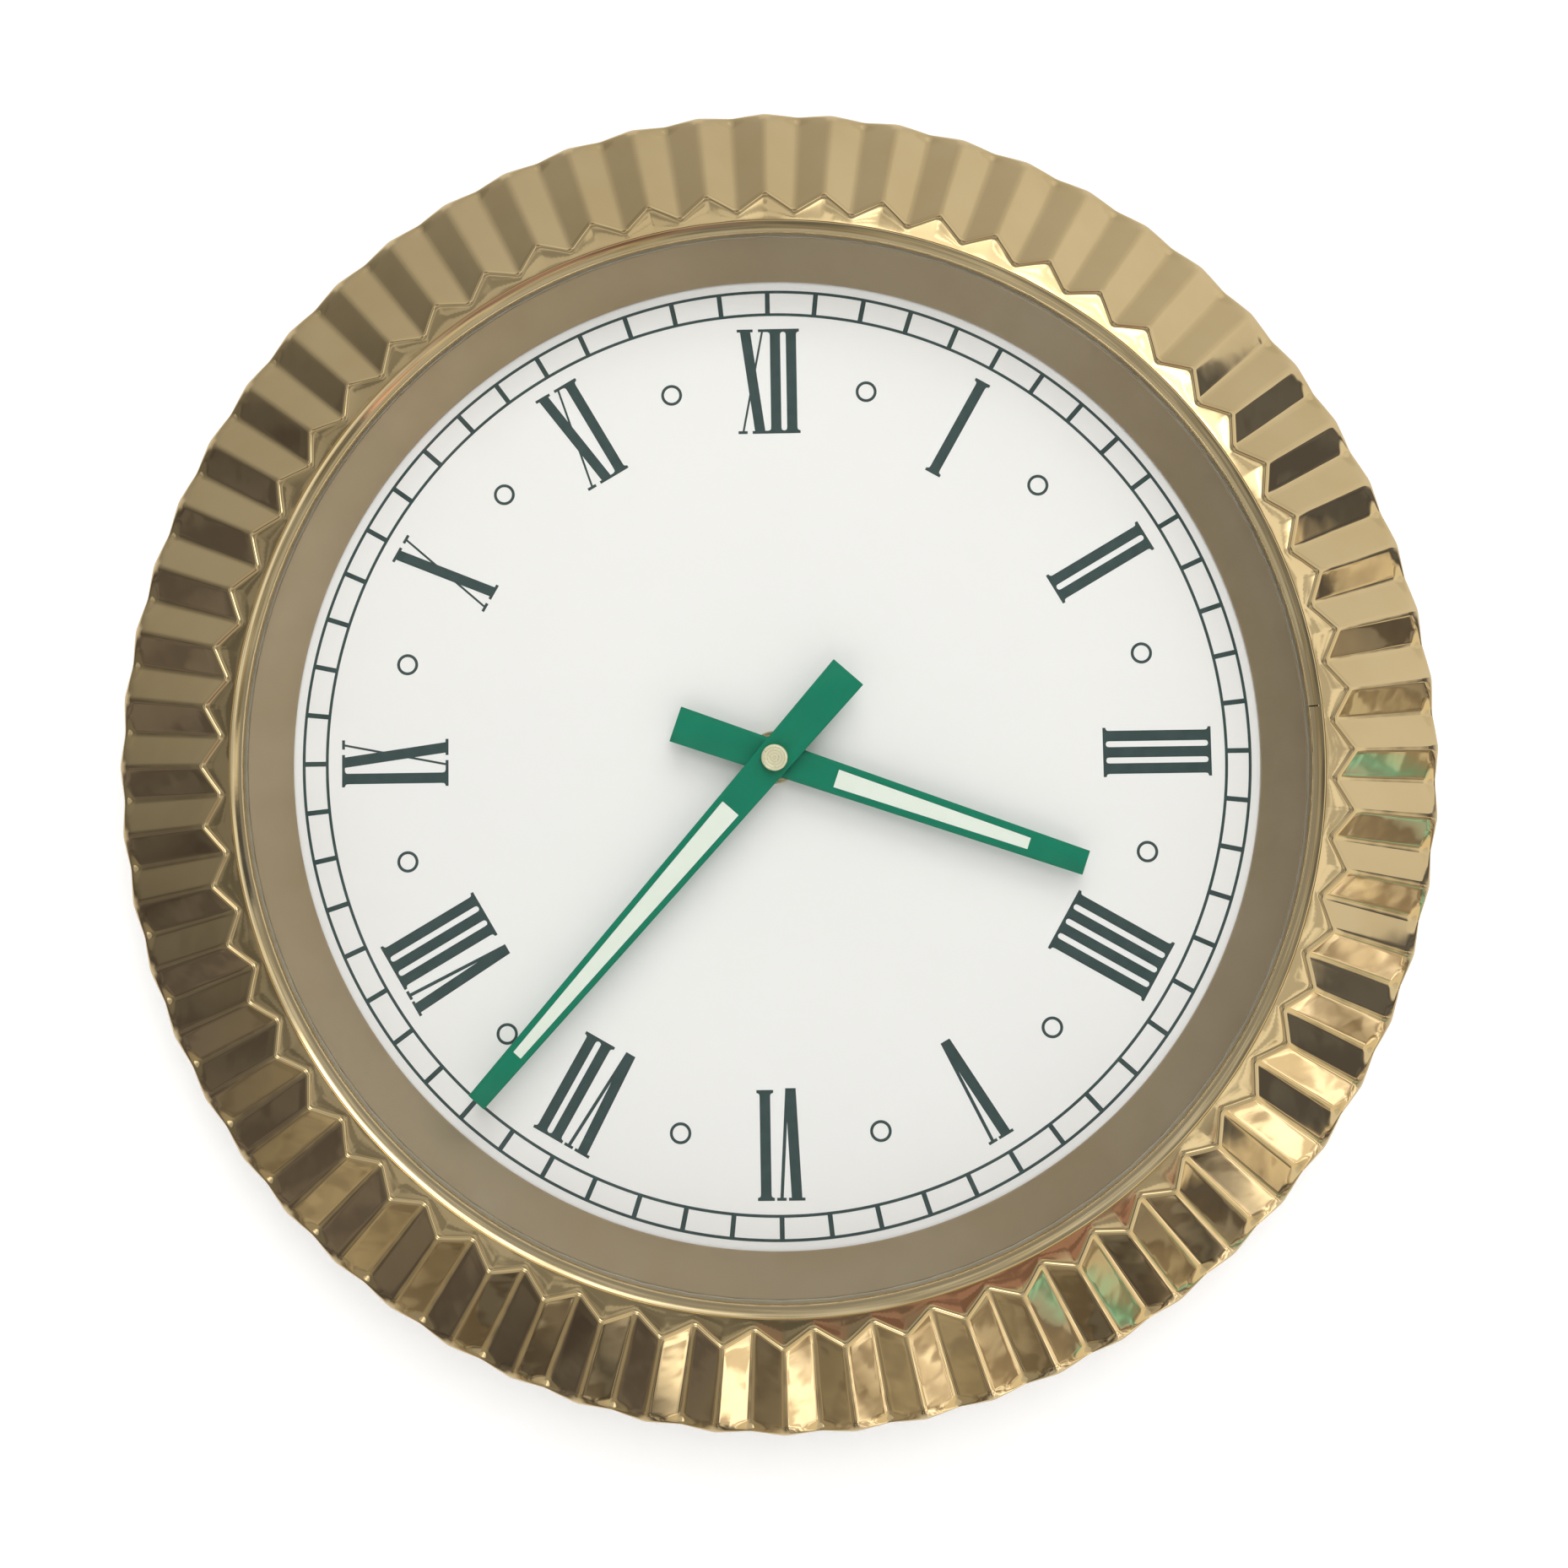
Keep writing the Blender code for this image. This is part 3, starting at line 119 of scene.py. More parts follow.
# Dial print
TRACK_OUTER = 122.9
TRACK_INNER = 116.1
TRACK_LINE = 0.75
TICK_WIDTH = 1.25
NUMERAL_TOP = 112.6
NUMERAL_BOTTOM = 84.8
STEM = 2.7
STEM_GAP = 1.5
HAIRLINE = 0.55
V_HAIRLINE = 0.85
SERIF = 0.75
SERIF_OVERHANG = 0.8
RING_CENTRE = 98.8
RING_RADIUS = 2.75
RING_LINE = 0.75
INK_THICKNESS = 0.02
INK_GAP = 0.01  # from the dial's face to the ink
BRACKET = 0.5  # how far a serif's bracket reaches
V_SIZE = 7.9  # width of V and X, with the space after them
THIN_SERIF = 2.4

scene = bpy.context.scene


# ---------------------------------------------------------------- meshes

def new_piece(name, mesh, body, replaces=None):
    """Links a mesh made in the clock's frame, stands it up and lets it ride on its body."""
    mesh.transform(STAND)
    piece = bpy.data.objects.new(name, mesh)
    scene.collection.objects.link(piece)
    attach(piece, body)
    if replaces:
        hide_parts(replaces)
    return piece


def mesh_from(shape, name):
    """Turns a bmesh into a mesh and frees it."""
    mesh = bpy.data.meshes.new(name)
    shape.to_mesh(mesh)
    shape.free()
    return mesh


def bridge(shape, near, far):
    """Joins two closed rows of vertices with a band of faces."""
    for j in range(len(near)):
        k = (j + 1) % len(near)
        shape.faces.new((near[j], far[j], far[k], near[k]))


def corner(before, here, after, steps):
    """Points of a curve from one point to another, drawn towards the corner between them."""
    for k in range(steps + 1):
        t = k / steps
        yield before * (1 - t) ** 2 + here * 2 * t * (1 - t) + after * t ** 2


def lathe(name, profile, steps, start=0.0, sweep=2 * math.pi):
    """A ring from a closed (radius, z) outline, anticlockwise as seen with z upwards."""
    shape = bmesh.new()
    closed = sweep >= 2 * math.pi - 1e-6
    count = steps if closed else steps + 1
    rows = []
    for i in range(count):
        angle = start + sweep * i / steps
        c, s = math.cos(angle) * MM, math.sin(angle) * MM
        rows.append([shape.verts.new((r * c, r * s, z * MM)) for r, z in profile])
    for i in range(steps):
        bridge(shape, rows[i], rows[(i + 1) % count])
    if not closed:
        shape.faces.new(list(reversed(rows[0])))
        shape.faces.new(rows[-1])
    bmesh.ops.recalc_face_normals(shape, faces=shape.faces)
    return mesh_from(shape, name)


def smooth_by_angle(piece, degrees):
    """Smooth shading, with sharp edges where two faces meet at a larger angle."""
    mesh = piece.data
    mesh.polygons.foreach_set("use_smooth", [True] * len(mesh.polygons))
    shape = bmesh.new()
    shape.from_mesh(mesh)
    limit = math.radians(degrees)
    for edge in shape.edges:
        edge.smooth = len(edge.link_faces) == 2 and edge.calc_face_angle(0.0) < limit
    shape.to_mesh(mesh)
    shape.free()


def rounded(points, radii, steps):
    """A closed outline with its corners rounded, each by its own radius."""
    out = []
    for i, point in enumerate(points):
        here = Vector(point)
        before = Vector(points[i - 1]) - here
        after = Vector(points[(i + 1) % len(points)]) - here
        reach = min(radii[i], before.length * 0.45, after.length * 0.45)
        a, b = here + before.normalized() * reach, here + after.normalized() * reach
        out += [(p.x, p.y) for p in corner(a, here, b, steps)]
    return out


def softened(node, width):
    """A copy of a CAD node with its edges eased, which replaces it."""
    source = nodes[node]
    shape = bmesh.new()
    shape.from_mesh(source.data)
    bmesh.ops.remove_doubles(shape, verts=shape.verts, dist=1e-6)
    bmesh.ops.dissolve_limit(shape, angle_limit=math.radians(0.6), verts=shape.verts, edges=shape.edges)
    mesh = mesh_from(shape, node + "_finished")
    piece = bpy.data.objects.new(node + "_finished", mesh)
    scene.collection.objects.link(piece)
    body = next(b for b, members in BODIES.items() if node in members)
    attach(piece, body)
    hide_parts(node)
    bevel = piece.modifiers.new("eased", "BEVEL")
    bevel.width = width * MM
    bevel.segments = 2
    bevel.limit_method = "ANGLE"
    bevel.angle_limit = math.radians(30)
    bevel.harden_normals = False
    bevel.use_clamp_overlap = True
    mesh.polygons.foreach_set("use_smooth", [True] * len(mesh.polygons))
    return piece


def make_bezel():
    """The fluted sheet, column by column, so that every crease follows its own line."""
    slope = (CREST_DEPTH - RIM_DEPTH) / (BEZEL_RADIUS - CREST_RADIUS)
    collar = TRIM_RADIUS - COLLAR_INSET
    collar_top = CREST_DEPTH - INNER_CONE_FALL
    cone = INNER_CONE_FALL / (CREST_RADIUS - collar)
    draft = SKIRT_DRAFT / RIM_DEPTH
    shares = [  # close together where the fold curves
        0.0, 0.025, 0.05, 0.075, 0.1, 0.125, 0.2, 0.35, 0.5, 0.65, 0.8,
        0.875, 0.9, 0.925, 0.95, 0.975, 1.0,
    ]
    chance = random.Random(7)

    def fold(share):
        """Depth of the fold from ridge to valley, with both ends rounded."""
        if share < FOLD_SOFTNESS:
            return share * share / (2 * FOLD_SOFTNESS)
        if share > 1 - FOLD_SOFTNESS:
            return 1 - FOLD_SOFTNESS - (1 - share) ** 2 / (2 * FOLD_SOFTNESS)
        return share - FOLD_SOFTNESS / 2

    full = fold(1.0)
    columns = []
    for flute in range(FLUTES):
        lift = [chance.uniform(-UNEVENNESS, UNEVENNESS) for _ in range(2)]
        for side in range(2):
            spans = shares[:-1] if side == 0 else shares[:0:-1]
            for share in spans:
                turn = share if side == 0 else 2 - share
                angle = (flute + turn / 2) * 2 * math.pi / FLUTES
                drop = FLUTE_DROP * fold(share) / full
                columns.append((angle, drop, lift[side] * share * (1 - share) * 4))

    def column_profile(drop, bulge):
        """Radius and depth from the skirt's foot over the flute and down the collar."""

        def flute_z(r):
            return RIM_DEPTH + (BEZEL_RADIUS - r) * slope - drop + bulge

        foot = BEZEL_RADIUS - SKIRT_DRAFT * (RIM_DEPTH - BEZEL_BOTTOM) / RIM_DEPTH
        edge = Vector((BEZEL_RADIUS - draft * drop, RIM_DEPTH - RIM_SET - RIM_RIPPLE * drop))
        end_r = BEZEL_RADIUS - FLUTE_END
        end = Vector((end_r, flute_z(end_r)))
        meeting = RIM_DEPTH + BEZEL_RADIUS * slope - drop - CREST_DEPTH + cone * CREST_RADIUS
        crest_r = meeting / (cone + slope)
        crest = Vector((crest_r, flute_z(crest_r)))
        sill = Vector((collar, collar_top))
        # The mirrored face from the wall inwards, each corner with its rounding
        path = [
            (Vector((foot, BEZEL_BOTTOM)), 0),
            (Vector((foot + draft * SKIRT_FOOT, BEZEL_BOTTOM + SKIRT_FOOT)), 0),
            (edge, RIM_ROUND), (end, FLUTE_END_ROUND), (crest, CREST_ROUND), (sill, COLLAR_ROUND),
            (Vector((collar, collar_top - COLLAR_LENGTH)), 0),
        ]
        points = []
        for i, (here, radius) in enumerate(path):
            if radius == 0:
                points.append(here)
                continue
            back, on = path[i - 1][0] - here, path[i + 1][0] - here
            points += corner(here + back.normalized() * radius, here, here + on.normalized() * radius, 5)
            if here is end:
                last = points[-1]
                target = crest + (end - crest).normalized() * CREST_ROUND
                points += [last.lerp(target, k / FLUTE_PARTS) for k in range(1, FLUTE_PARTS)]
        return points + [
            Vector((collar + SHEET, collar_top - COLLAR_LENGTH)),
            Vector((collar + SHEET, collar_top - COLLAR_UNDERSIDE)),
            Vector((crest_r, min(crest.y, CREST_DEPTH) - UNDERSIDE)),
            Vector((end_r, end.y - UNDERSIDE)),
            Vector((edge.x - SHEET, edge.y - UNDERSIDE)),
            Vector((foot - SHEET, BEZEL_BOTTOM)),
        ]

    shape = bmesh.new()
    rows = []
    for angle, drop, bulge in columns:
        c, s = math.cos(angle), math.sin(angle)
        profile = column_profile(drop, bulge)
        rows.append([shape.verts.new((p.x * c * MM, p.x * s * MM, p.y * MM)) for p in profile])
    for i, near in enumerate(rows):
        bridge(shape, near, rows[(i + 1) % len(rows)])
    bmesh.ops.recalc_face_normals(shape, faces=shape.faces)
    piece = new_piece("bezel_fluted", mesh_from(shape, "bezel_fluted"), "case", "bezel")
    smooth_by_angle(piece, 40)
    return piece


def make_trim():
    """The split ring that holds the lens."""
    wall_inner = TRIM_RADIUS - 2 * TRIM_WALL
    outline = [
        (OPENING_RADIUS, TRIM_TOP - TRIM_LIP), (wall_inner, TRIM_TOP - TRIM_LIP),
        (wall_inner, TRIM_BOTTOM), (wall_inner + TRIM_WALL, TRIM_BOTTOM),
        (wall_inner + TRIM_WALL, TRIM_TOP - TRIM_FLANGE),
        (TRIM_RADIUS, TRIM_TOP - TRIM_FLANGE), (TRIM_RADIUS, TRIM_TOP), (OPENING_RADIUS, TRIM_TOP),
    ]
    profile = rounded(outline, [0.1, 0.1, 0.1, 0.1, 0.1, 0.15, 0.6, 0.4], 5)
    half = SEAM_WIDTH / 2 / TRIM_RADIUS
    start = math.radians(90 - SEAM_ANGLE)
    mesh = lathe("trim_ring_finished", profile, 480, start + half, 2 * math.pi - 2 * half)
    piece = new_piece("trim_ring_finished", mesh, "case", "trim_ring")
    smooth_by_angle(piece, 35)
    return piece


def make_chapter_ring():
    """The cone between the dial and the lens."""
    outline = [
        (CHAPTER_INNER_RADIUS, CHAPTER_BOTTOM), (CHAPTER_RADIUS, CHAPTER_BOTTOM),
        (CHAPTER_RADIUS, CHAPTER_TOP), (OPENING_RADIUS, CHAPTER_TOP),
        (CHAPTER_INNER_RADIUS, CHAPTER_BOTTOM + CHAPTER_EDGE),
    ]
    profile = rounded(outline, [0.05, 0.2, 0.2, 0.25, 0.25], 3)
    mesh = lathe("chapter_ring_finished", profile, 360)
    piece = new_piece("chapter_ring_finished", mesh, "case", "chapter_ring")
    smooth_by_angle(piece, 35)
    return piece


# ---------------------------------------------------------------- dial print

def ink_plate(shape, outline, z0, z1):
    """Adds one flat closed patch of ink to a bmesh."""
    low = [shape.verts.new((x * MM, y * MM, z0 * MM)) for x, y in outline]
    high = [shape.verts.new((x * MM, y * MM, z1 * MM)) for x, y in outline]
    shape.faces.new(high)
    shape.faces.new(list(reversed(low)))
    for i in range(len(outline)):
        k = (i + 1) % len(outline)
        shape.faces.new((low[i], low[k], high[k], high[i]))


def ink_ring(shape, centre, inner, outer, z0, z1, steps):
    """Adds one flat ring of ink to a bmesh."""
    rows = []
    for i in range(steps):
        a = 2 * math.pi * i / steps
        c, s = math.cos(a), math.sin(a)
        rows.append([shape.verts.new(((centre[0] + r * c) * MM, (centre[1] + r * s) * MM, z * MM))
                     for r, z in ((inner, z0), (outer, z0), (outer, z1), (inner, z1))])
    for i in range(steps):
        bridge(shape, rows[i], rows[(i + 1) % steps])


def finish_ink(name, shape):
    bmesh.ops.recalc_face_normals(shape, faces=shape.faces)
    return new_piece(name, mesh_from(shape, name), "case")


def clockwise(points, degrees):
    """Points at twelve o'clock turned round the dial."""
    a = math.radians(degrees)
    return [(x * math.cos(a) + y * math.sin(a), -x * math.sin(a) + y * math.cos(a)) for x, y in points]


def stem_outline(left):
    """An upright stem with bracketed serifs."""
    right = left + STEM
    top, bottom = NUMERAL_TOP, NUMERAL_BOTTOM
    # A serif's edge from its tip to the stem: how far out it stands, and how far above the serif
    bracket = [(SERIF_OVERHANG, 0.0), (BRACKET, 0.06), (0.1, 0.3), (0.0, BRACKET + 0.35)]
    return [
        (left - SERIF_OVERHANG, bottom), (right + SERIF_OVERHANG, bottom),
        *[(right + out, bottom + SERIF + rise) for out, rise in bracket],
        *[(right + out, top - SERIF - rise) for out, rise in reversed(bracket)],
        (right + SERIF_OVERHANG, top), (left - SERIF_OVERHANG, top),
        *[(left - out, top - SERIF - rise) for out, rise in bracket],
        *[(left - out, bottom + SERIF + rise) for out, rise in reversed(bracket)],
    ]


def slant(x_top, x_bottom, width, top, bottom):
    """A straight stroke with level ends."""
    half = width / 2
    return [
        (x_bottom - half, bottom), (x_bottom + half, bottom), (x_top + half, top), (x_top - half, top),
    ]


def serif_bar(middle, width, at_top):
    """A plain serif across a stroke's end."""
    y = NUMERAL_TOP if at_top else NUMERAL_BOTTOM
    other = y - SERIF if at_top else y + SERIF
    low, high = min(y, other), max(y, other)
    return [(middle - width / 2, low), (middle + width / 2, low), (middle + width / 2, high),
            (middle - width / 2, high)]


def letter_v(left):
    """Thick left stroke, hairline right stroke, serifs at the top only, flat foot."""
    foot = left + 3.6
    return [
        slant(left + 2.2, foot - 0.1, STEM, NUMERAL_TOP, NUMERAL_BOTTOM - 0.4),
        slant(left + 6.1, foot + 0.8, V_HAIRLINE, NUMERAL_TOP, NUMERAL_BOTTOM),
        serif_bar(left + 2.2, STEM + 1.5, True),
        serif_bar(left + 6.1, THIN_SERIF, True),
    ]


def letter_x(left):
    """Thick stroke down to the right, hairline down to the left."""
    return [
        slant(left + 2.1, left + 5.9, STEM, NUMERAL_TOP, NUMERAL_BOTTOM),
        slant(left + 6.8, left + 1.3, HAIRLINE, NUMERAL_TOP, NUMERAL_BOTTOM),
        serif_bar(left + 2.1, STEM + 1.5, True),
        serif_bar(left + 6.8, THIN_SERIF, True),
        serif_bar(left + 5.9, STEM + 1.5, False),
        serif_bar(left + 1.3, THIN_SERIF, False),
    ]


def numeral_shapes(text):
    """Outlines of one numeral, centred on x, standing between the numeral circles."""
    outlines = []
    x = 0.0
    for letter in text:
        if letter == "I":
            outlines.append(stem_outline(x + SERIF_OVERHANG))
            x += STEM + STEM_GAP
        elif letter == "V":
            outlines += letter_v(x)
            x += V_SIZE
        else:
            outlines += letter_x(x)
            x += V_SIZE
    xs = [p[0] for o in outlines for p in o]
    middle = (min(xs) + max(xs)) / 2
    return [[(px - middle, py) for px, py in o] for o in outlines]


def make_print():
    """Minute track, half-hour rings and numerals, a film of ink on the dial."""
    z0 = DIAL_FACE + INK_GAP
    z1 = z0 + INK_THICKNESS
    track = bmesh.new()
    ink_ring(track, (0, 0), TRACK_OUTER - TRACK_LINE, TRACK_OUTER, z0, z1, 360)
    ink_ring(track, (0, 0), TRACK_INNER, TRACK_INNER + TRACK_LINE, z0, z1, 360)
    half = TICK_WIDTH / 2
    low, high = TRACK_INNER + TRACK_LINE / 2, TRACK_OUTER - TRACK_LINE / 2
    tick = [(-half, low), (half, low), (half, high), (-half, high)]
    for minute in range(60):
        ink_plate(track, clockwise(tick, 6 * minute), z0, z1 + 0.001)
    pieces = [finish_ink("dial_track", track)]
    rings = bmesh.new()
    for hour in range(12):
        a = math.radians(30 * hour + 15)
        centre = (RING_CENTRE * math.sin(a), RING_CENTRE * math.cos(a))
        ink_ring(rings, centre, RING_RADIUS - RING_LINE, RING_RADIUS, z0, z1, 48)
    pieces.append(finish_ink("dial_half_hour_rings", rings))
    hours = ["XII", "I", "II", "III", "IIII", "V", "VI", "VII", "VIII", "IX", "X", "XI"]
    numerals = bmesh.new()
    for hour, text in enumerate(hours):
        for n, outline in enumerate(numeral_shapes(text)):
            # Overlapping strokes each end at their own height, so that no two faces coincide
            ink_plate(numerals, clockwise(outline, 30 * hour), z0, z1 + 0.0015 * n)
    pieces.append(finish_ink("dial_numerals", numerals))
    return pieces


# ---------------------------------------------------------------- materials

class Nodes:
    """A short way to write a material's nodes. Noise scales are per metre, bump distances millimetres."""

    def __init__(self, name):
        self.material = bpy.data.materials.new(name)
        self.material.use_nodes = True
        self.tree = self.material.node_tree
        self.shader = self.tree.nodes["Principled BSDF"]
        self.place = self.add("ShaderNodeTexCoord").outputs["Object"]

    def add(self, kind, **settings):
        node = self.tree.nodes.new(kind)
        for key, value in settings.items():
            setattr(node, key, value)
        return node

    def link(self, source, target):
        self.tree.links.new(source, target)

    def set(self, **values):
        for key, value in values.items():
            self.shader.inputs[key.replace("_", " ")].default_value = value
        return self

    def noise(self, scale, detail=3.0, rough=0.5):
        node = self.add("ShaderNodeTexNoise")
        node.inputs["Scale"].default_value = scale
        node.inputs["Detail"].default_value = detail
        node.inputs["Roughness"].default_value = rough
        self.link(self.place, node.inputs["Vector"])
        return node.outputs["Fac"]

    def ramp(self, value, low, high, to_low, to_high):
        node = self.add("ShaderNodeMapRange")
        limits = {"From Min": low, "From Max": high, "To Min": to_low, "To Max": to_high}
        for key, number in limits.items():
            node.inputs[key].default_value = number
        self.link(value, node.inputs["Value"])
        return node.outputs["Result"]

    def mix(self, share, first, second):
        node = self.add("ShaderNodeMix", data_type="RGBA")
        self.link(share, node.inputs["Factor"])
        sockets = [s for s in node.inputs if s.type == "RGBA"]
        for socket, value in zip(sockets, (first, second)):
            if isinstance(value, tuple):
                socket.default_value = (*value, 1.0)
            else:
                self.link(value, socket)
        return next(s for s in node.outputs if s.type == "RGBA")

    def bump(self, height, strength, distance, under=None):
        node = self.add("ShaderNodeBump")
        node.inputs["Strength"].default_value = strength
        node.inputs["Distance"].default_value = distance * MM
        self.link(height, node.inputs["Height"])
        if under:
            self.link(under, node.inputs["Normal"])
        return node.outputs["Normal"]

    def colour(self, socket):
        self.link(socket, self.shader.inputs["Base Color"])
        return self

    def roughness(self, socket):
        self.link(socket, self.shader.inputs["Roughness"])
        return self

    def normal(self, socket):
        self.link(socket, self.shader.inputs["Normal"])
        return self

    def show_mix(self, share, first, second):
        """Shows two shaders, mixed, in place of the material's own."""
        node = self.add("ShaderNodeMixShader")
        self.link(share, node.inputs["Fac"])
        self.link(first.outputs["BSDF"], node.inputs[1])
        self.link(second.outputs["BSDF"], node.inputs[2])
        output = next(x for x in self.tree.nodes if x.type == "OUTPUT_MATERIAL")
        self.link(node.outputs["Shader"], output.inputs["Surface"])


def gold(name, tint, deep, roughness, wave, fine=0.04):
    """Mirror-polished plating: slow waves in the sheet, faint clouding and fine polishing marks."""
    n = Nodes(name).set(Metallic=1.0)
    n.colour(n.mix(n.ramp(n.noise(45), 0.35, 0.7, 0.0, 1.0), tint, deep))
    n.roughness(n.ramp(n.noise(160, 4.0, 0.6), 0.3, 0.75, *roughness))
    waves = n.bump(n.noise(80, 1.5, 0.4), wave, 0.35)
    return n.normal(n.bump(n.noise(900, 2.0), fine, 0.02, waves)).material


def surface(name, tints, cloud, roughness, wear, grain, relief, **values):
    """A finish whose colour, roughness and relief each follow a noise of their own.

    cloud, wear and grain are a noise's scale, detail and roughness; relief is the bump's strength
    and distance.
    """
    n = Nodes(name).set(**values)
    n.colour(n.mix(n.ramp(n.noise(*cloud), 0.3, 0.7, 0.0, 1.0), *tints))
    n.roughness(n.ramp(n.noise(*wear), 0.3, 0.7, *roughness))
    return n.normal(n.bump(n.noise(*grain), *relief)).material


def enamel(name, tints, roughness):
    return surface(name, tints, (120,), roughness, (300,), (600, 3.0, 0.6), (0.12, 0.02),
                   Specular_IOR_Level=0.2)


def plastic(name, tints, roughness, grain=1800.0, depth=0.05):
    return surface(name, tints, (60, 4.0), roughness, (200,), (grain, 3.0, 0.7), (0.5, depth),
                   Specular_IOR_Level=0.45)


def turned_brass(name, metallic, bright, dark, roughness):
    """Brass with the fine rings of the lathe, round the clock's own axis."""
    n = Nodes(name).set(Metallic=metallic)
    centred = n.add("ShaderNodeMapping")
    centred.inputs["Location"].default_value = -CENTRE
    n.link(n.place, centred.inputs["Vector"])
    rings = n.add("ShaderNodeTexWave", wave_type="RINGS", rings_direction="Y")
    rings.inputs["Scale"].default_value = 420
    rings.inputs["Distortion"].default_value = 0.3
    n.link(centred.outputs["Vector"], rings.inputs["Vector"])
    n.colour(n.mix(rings.outputs["Fac"], bright, dark))
    n.roughness(n.ramp(n.noise(900), 0.3, 0.7, *roughness))
    return n.normal(n.bump(rings.outputs["Fac"], 0.5, 0.03)).material


def wound_copper():
    """Fine turns of wire across the coil."""
    n = Nodes("copper_winding").set(Metallic=1.0)
    turns = n.add("ShaderNodeTexWave", wave_type="BANDS", bands_direction="X")
    turns.inputs["Scale"].default_value = 1200
    turns.inputs["Distortion"].default_value = 0.4
    n.link(n.place, turns.inputs["Vector"])
    n.colour(n.mix(turns.outputs["Fac"], (0.45, 0.16, 0.06), (0.70, 0.30, 0.13)))
    n.roughness(n.ramp(n.noise(400, 2.0), 0.3, 0.7, 0.25, 0.4))
    return n.normal(n.bump(turns.outputs["Fac"], 0.6, 0.06)).material


def clear_lens():
    """Thin clear glass: outer faces mirror by Fresnel and everything else goes straight through."""
    n = Nodes("clear_lens_glass")
    n.tree.nodes.remove(n.shader)
    through = n.add("ShaderNodeBsdfTransparent")
    through.inputs["Color"].default_value = (0.985, 0.992, 0.988, 1.0)
    mirror = n.add("ShaderNodeBsdfGlossy")
    mirror.inputs["Color"].default_value = (1.0, 1.0, 1.0, 1.0)
    mirror.inputs["Roughness"].default_value = 0.02
    fresnel = n.add("ShaderNodeFresnel")
    fresnel.inputs["IOR"].default_value = 1.4
    side = n.add("ShaderNodeNewGeometry")
    outer = n.add("ShaderNodeMath", operation="SUBTRACT")
    outer.inputs[0].default_value = 1.0
    n.link(side.outputs["Backfacing"], outer.inputs[1])
    share = n.add("ShaderNodeMath", operation="MULTIPLY")
    n.link(fresnel.outputs["Fac"], share.inputs[0])
    n.link(outer.outputs["Value"], share.inputs[1])
    n.link(n.bump(n.noise(12, 1.0), 0.02, 0.1), mirror.inputs["Normal"])
    n.show_mix(share.outputs["Value"], through, mirror)
    return n.material


def dress(piece, finish):
    """Gives a piece made here its material."""
    piece.data.materials.clear()
    piece.data.materials.append(finish)


def dress_node(node, finish):
    """Gives a CAD node its material."""
    for slot in nodes[node].material_slots:
        slot.material = finish


# ---------------------------------------------------------------- build

zinc = surface(
    "zinc_plate", ((0.60, 0.61, 0.60), (0.50, 0.51, 0.52)), (250, 4.0), (0.28, 0.45),
    (500, 4.0), (1500,), (0.2, 0.02), Metallic=1.0)
brass = turned_brass("turned_brass", 1.0, (0.80, 0.70, 0.44), (0.70, 0.59, 0.34), (0.22, 0.34))
# Painted sheen: the cap's brass is a paler, half diffuse copy of the brass, so it shows bright where its
# mirror would show the room's dark middle
cap_brass_painted_sheen = turned_brass("cap_brass_painted_sheen", 0.5, (0.97, 0.91, 0.66), (0.80, 0.72, 0.46), (0.25, 0.35))
green = enamel("green_enamel", ((0.002, 0.175, 0.098), (0.003, 0.195, 0.108)), (0.34, 0.46))
cream = enamel("luminous_cream", ((0.78, 0.83, 0.75), (0.74, 0.79, 0.70)), (0.55, 0.7))
black = plastic("black_case_plastic", ((0.018, 0.018, 0.020), (0.028, 0.028, 0.030)), (0.42, 0.6))
grey = plastic("movement_plastic", ((0.035, 0.036, 0.040), (0.050, 0.050, 0.055)), (0.35, 0.5))
ivory = plastic("gear_plastic_finish", ((0.74, 0.71, 0.60), (0.68, 0.64, 0.52)), (0.35, 0.5), 900.0, 0.02)
beige = plastic("gasket_finish", ((0.36, 0.31, 0.22), (0.42, 0.37, 0.28)), (0.6, 0.8))
soft = plastic("rubber_finish", ((0.014, 0.014, 0.014), (0.022, 0.022, 0.022)), (0.75, 0.9))
board = plastic("solder_mask", ((0.02, 0.14, 0.06), (0.03, 0.18, 0.08)), (0.3, 0.4), 600.0, 0.02)
wrap = plastic("battery_sleeve", ((0.05, 0.12, 0.30), (0.06, 0.15, 0.36)), (0.25, 0.35), 300.0, 0.01)

dress(make_bezel(), gold(
    "bezel_gold", (0.84, 0.645, 0.345), (0.80, 0.605, 0.31), (0.025, 0.06), wave=0.55))
dress(make_trim(), gold(
    "trim_gold", (0.84, 0.68, 0.40), (0.78, 0.61, 0.33), (0.03, 0.07), wave=0.08))
dress(make_chapter_ring(), surface(
    "satin_chapter_ring_finish", ((0.41, 0.312, 0.187), (0.455, 0.36, 0.24)), (18, 3.0, 0.6), (0.34, 0.44),
    (220, 4.0, 0.6), (1400, 2.0, 0.6), (0.25, 0.03), Metallic=0.75))
ink = surface(
    "dial_ink", ((0.030, 0.056, 0.054), (0.040, 0.070, 0.067)), (300,), (0.38, 0.5),
    (500, 2.0), (1500, 2.0), (0.15, 0.01), Specular_IOR_Level=0.4)
for printed in make_print():
    dress(printed, ink)

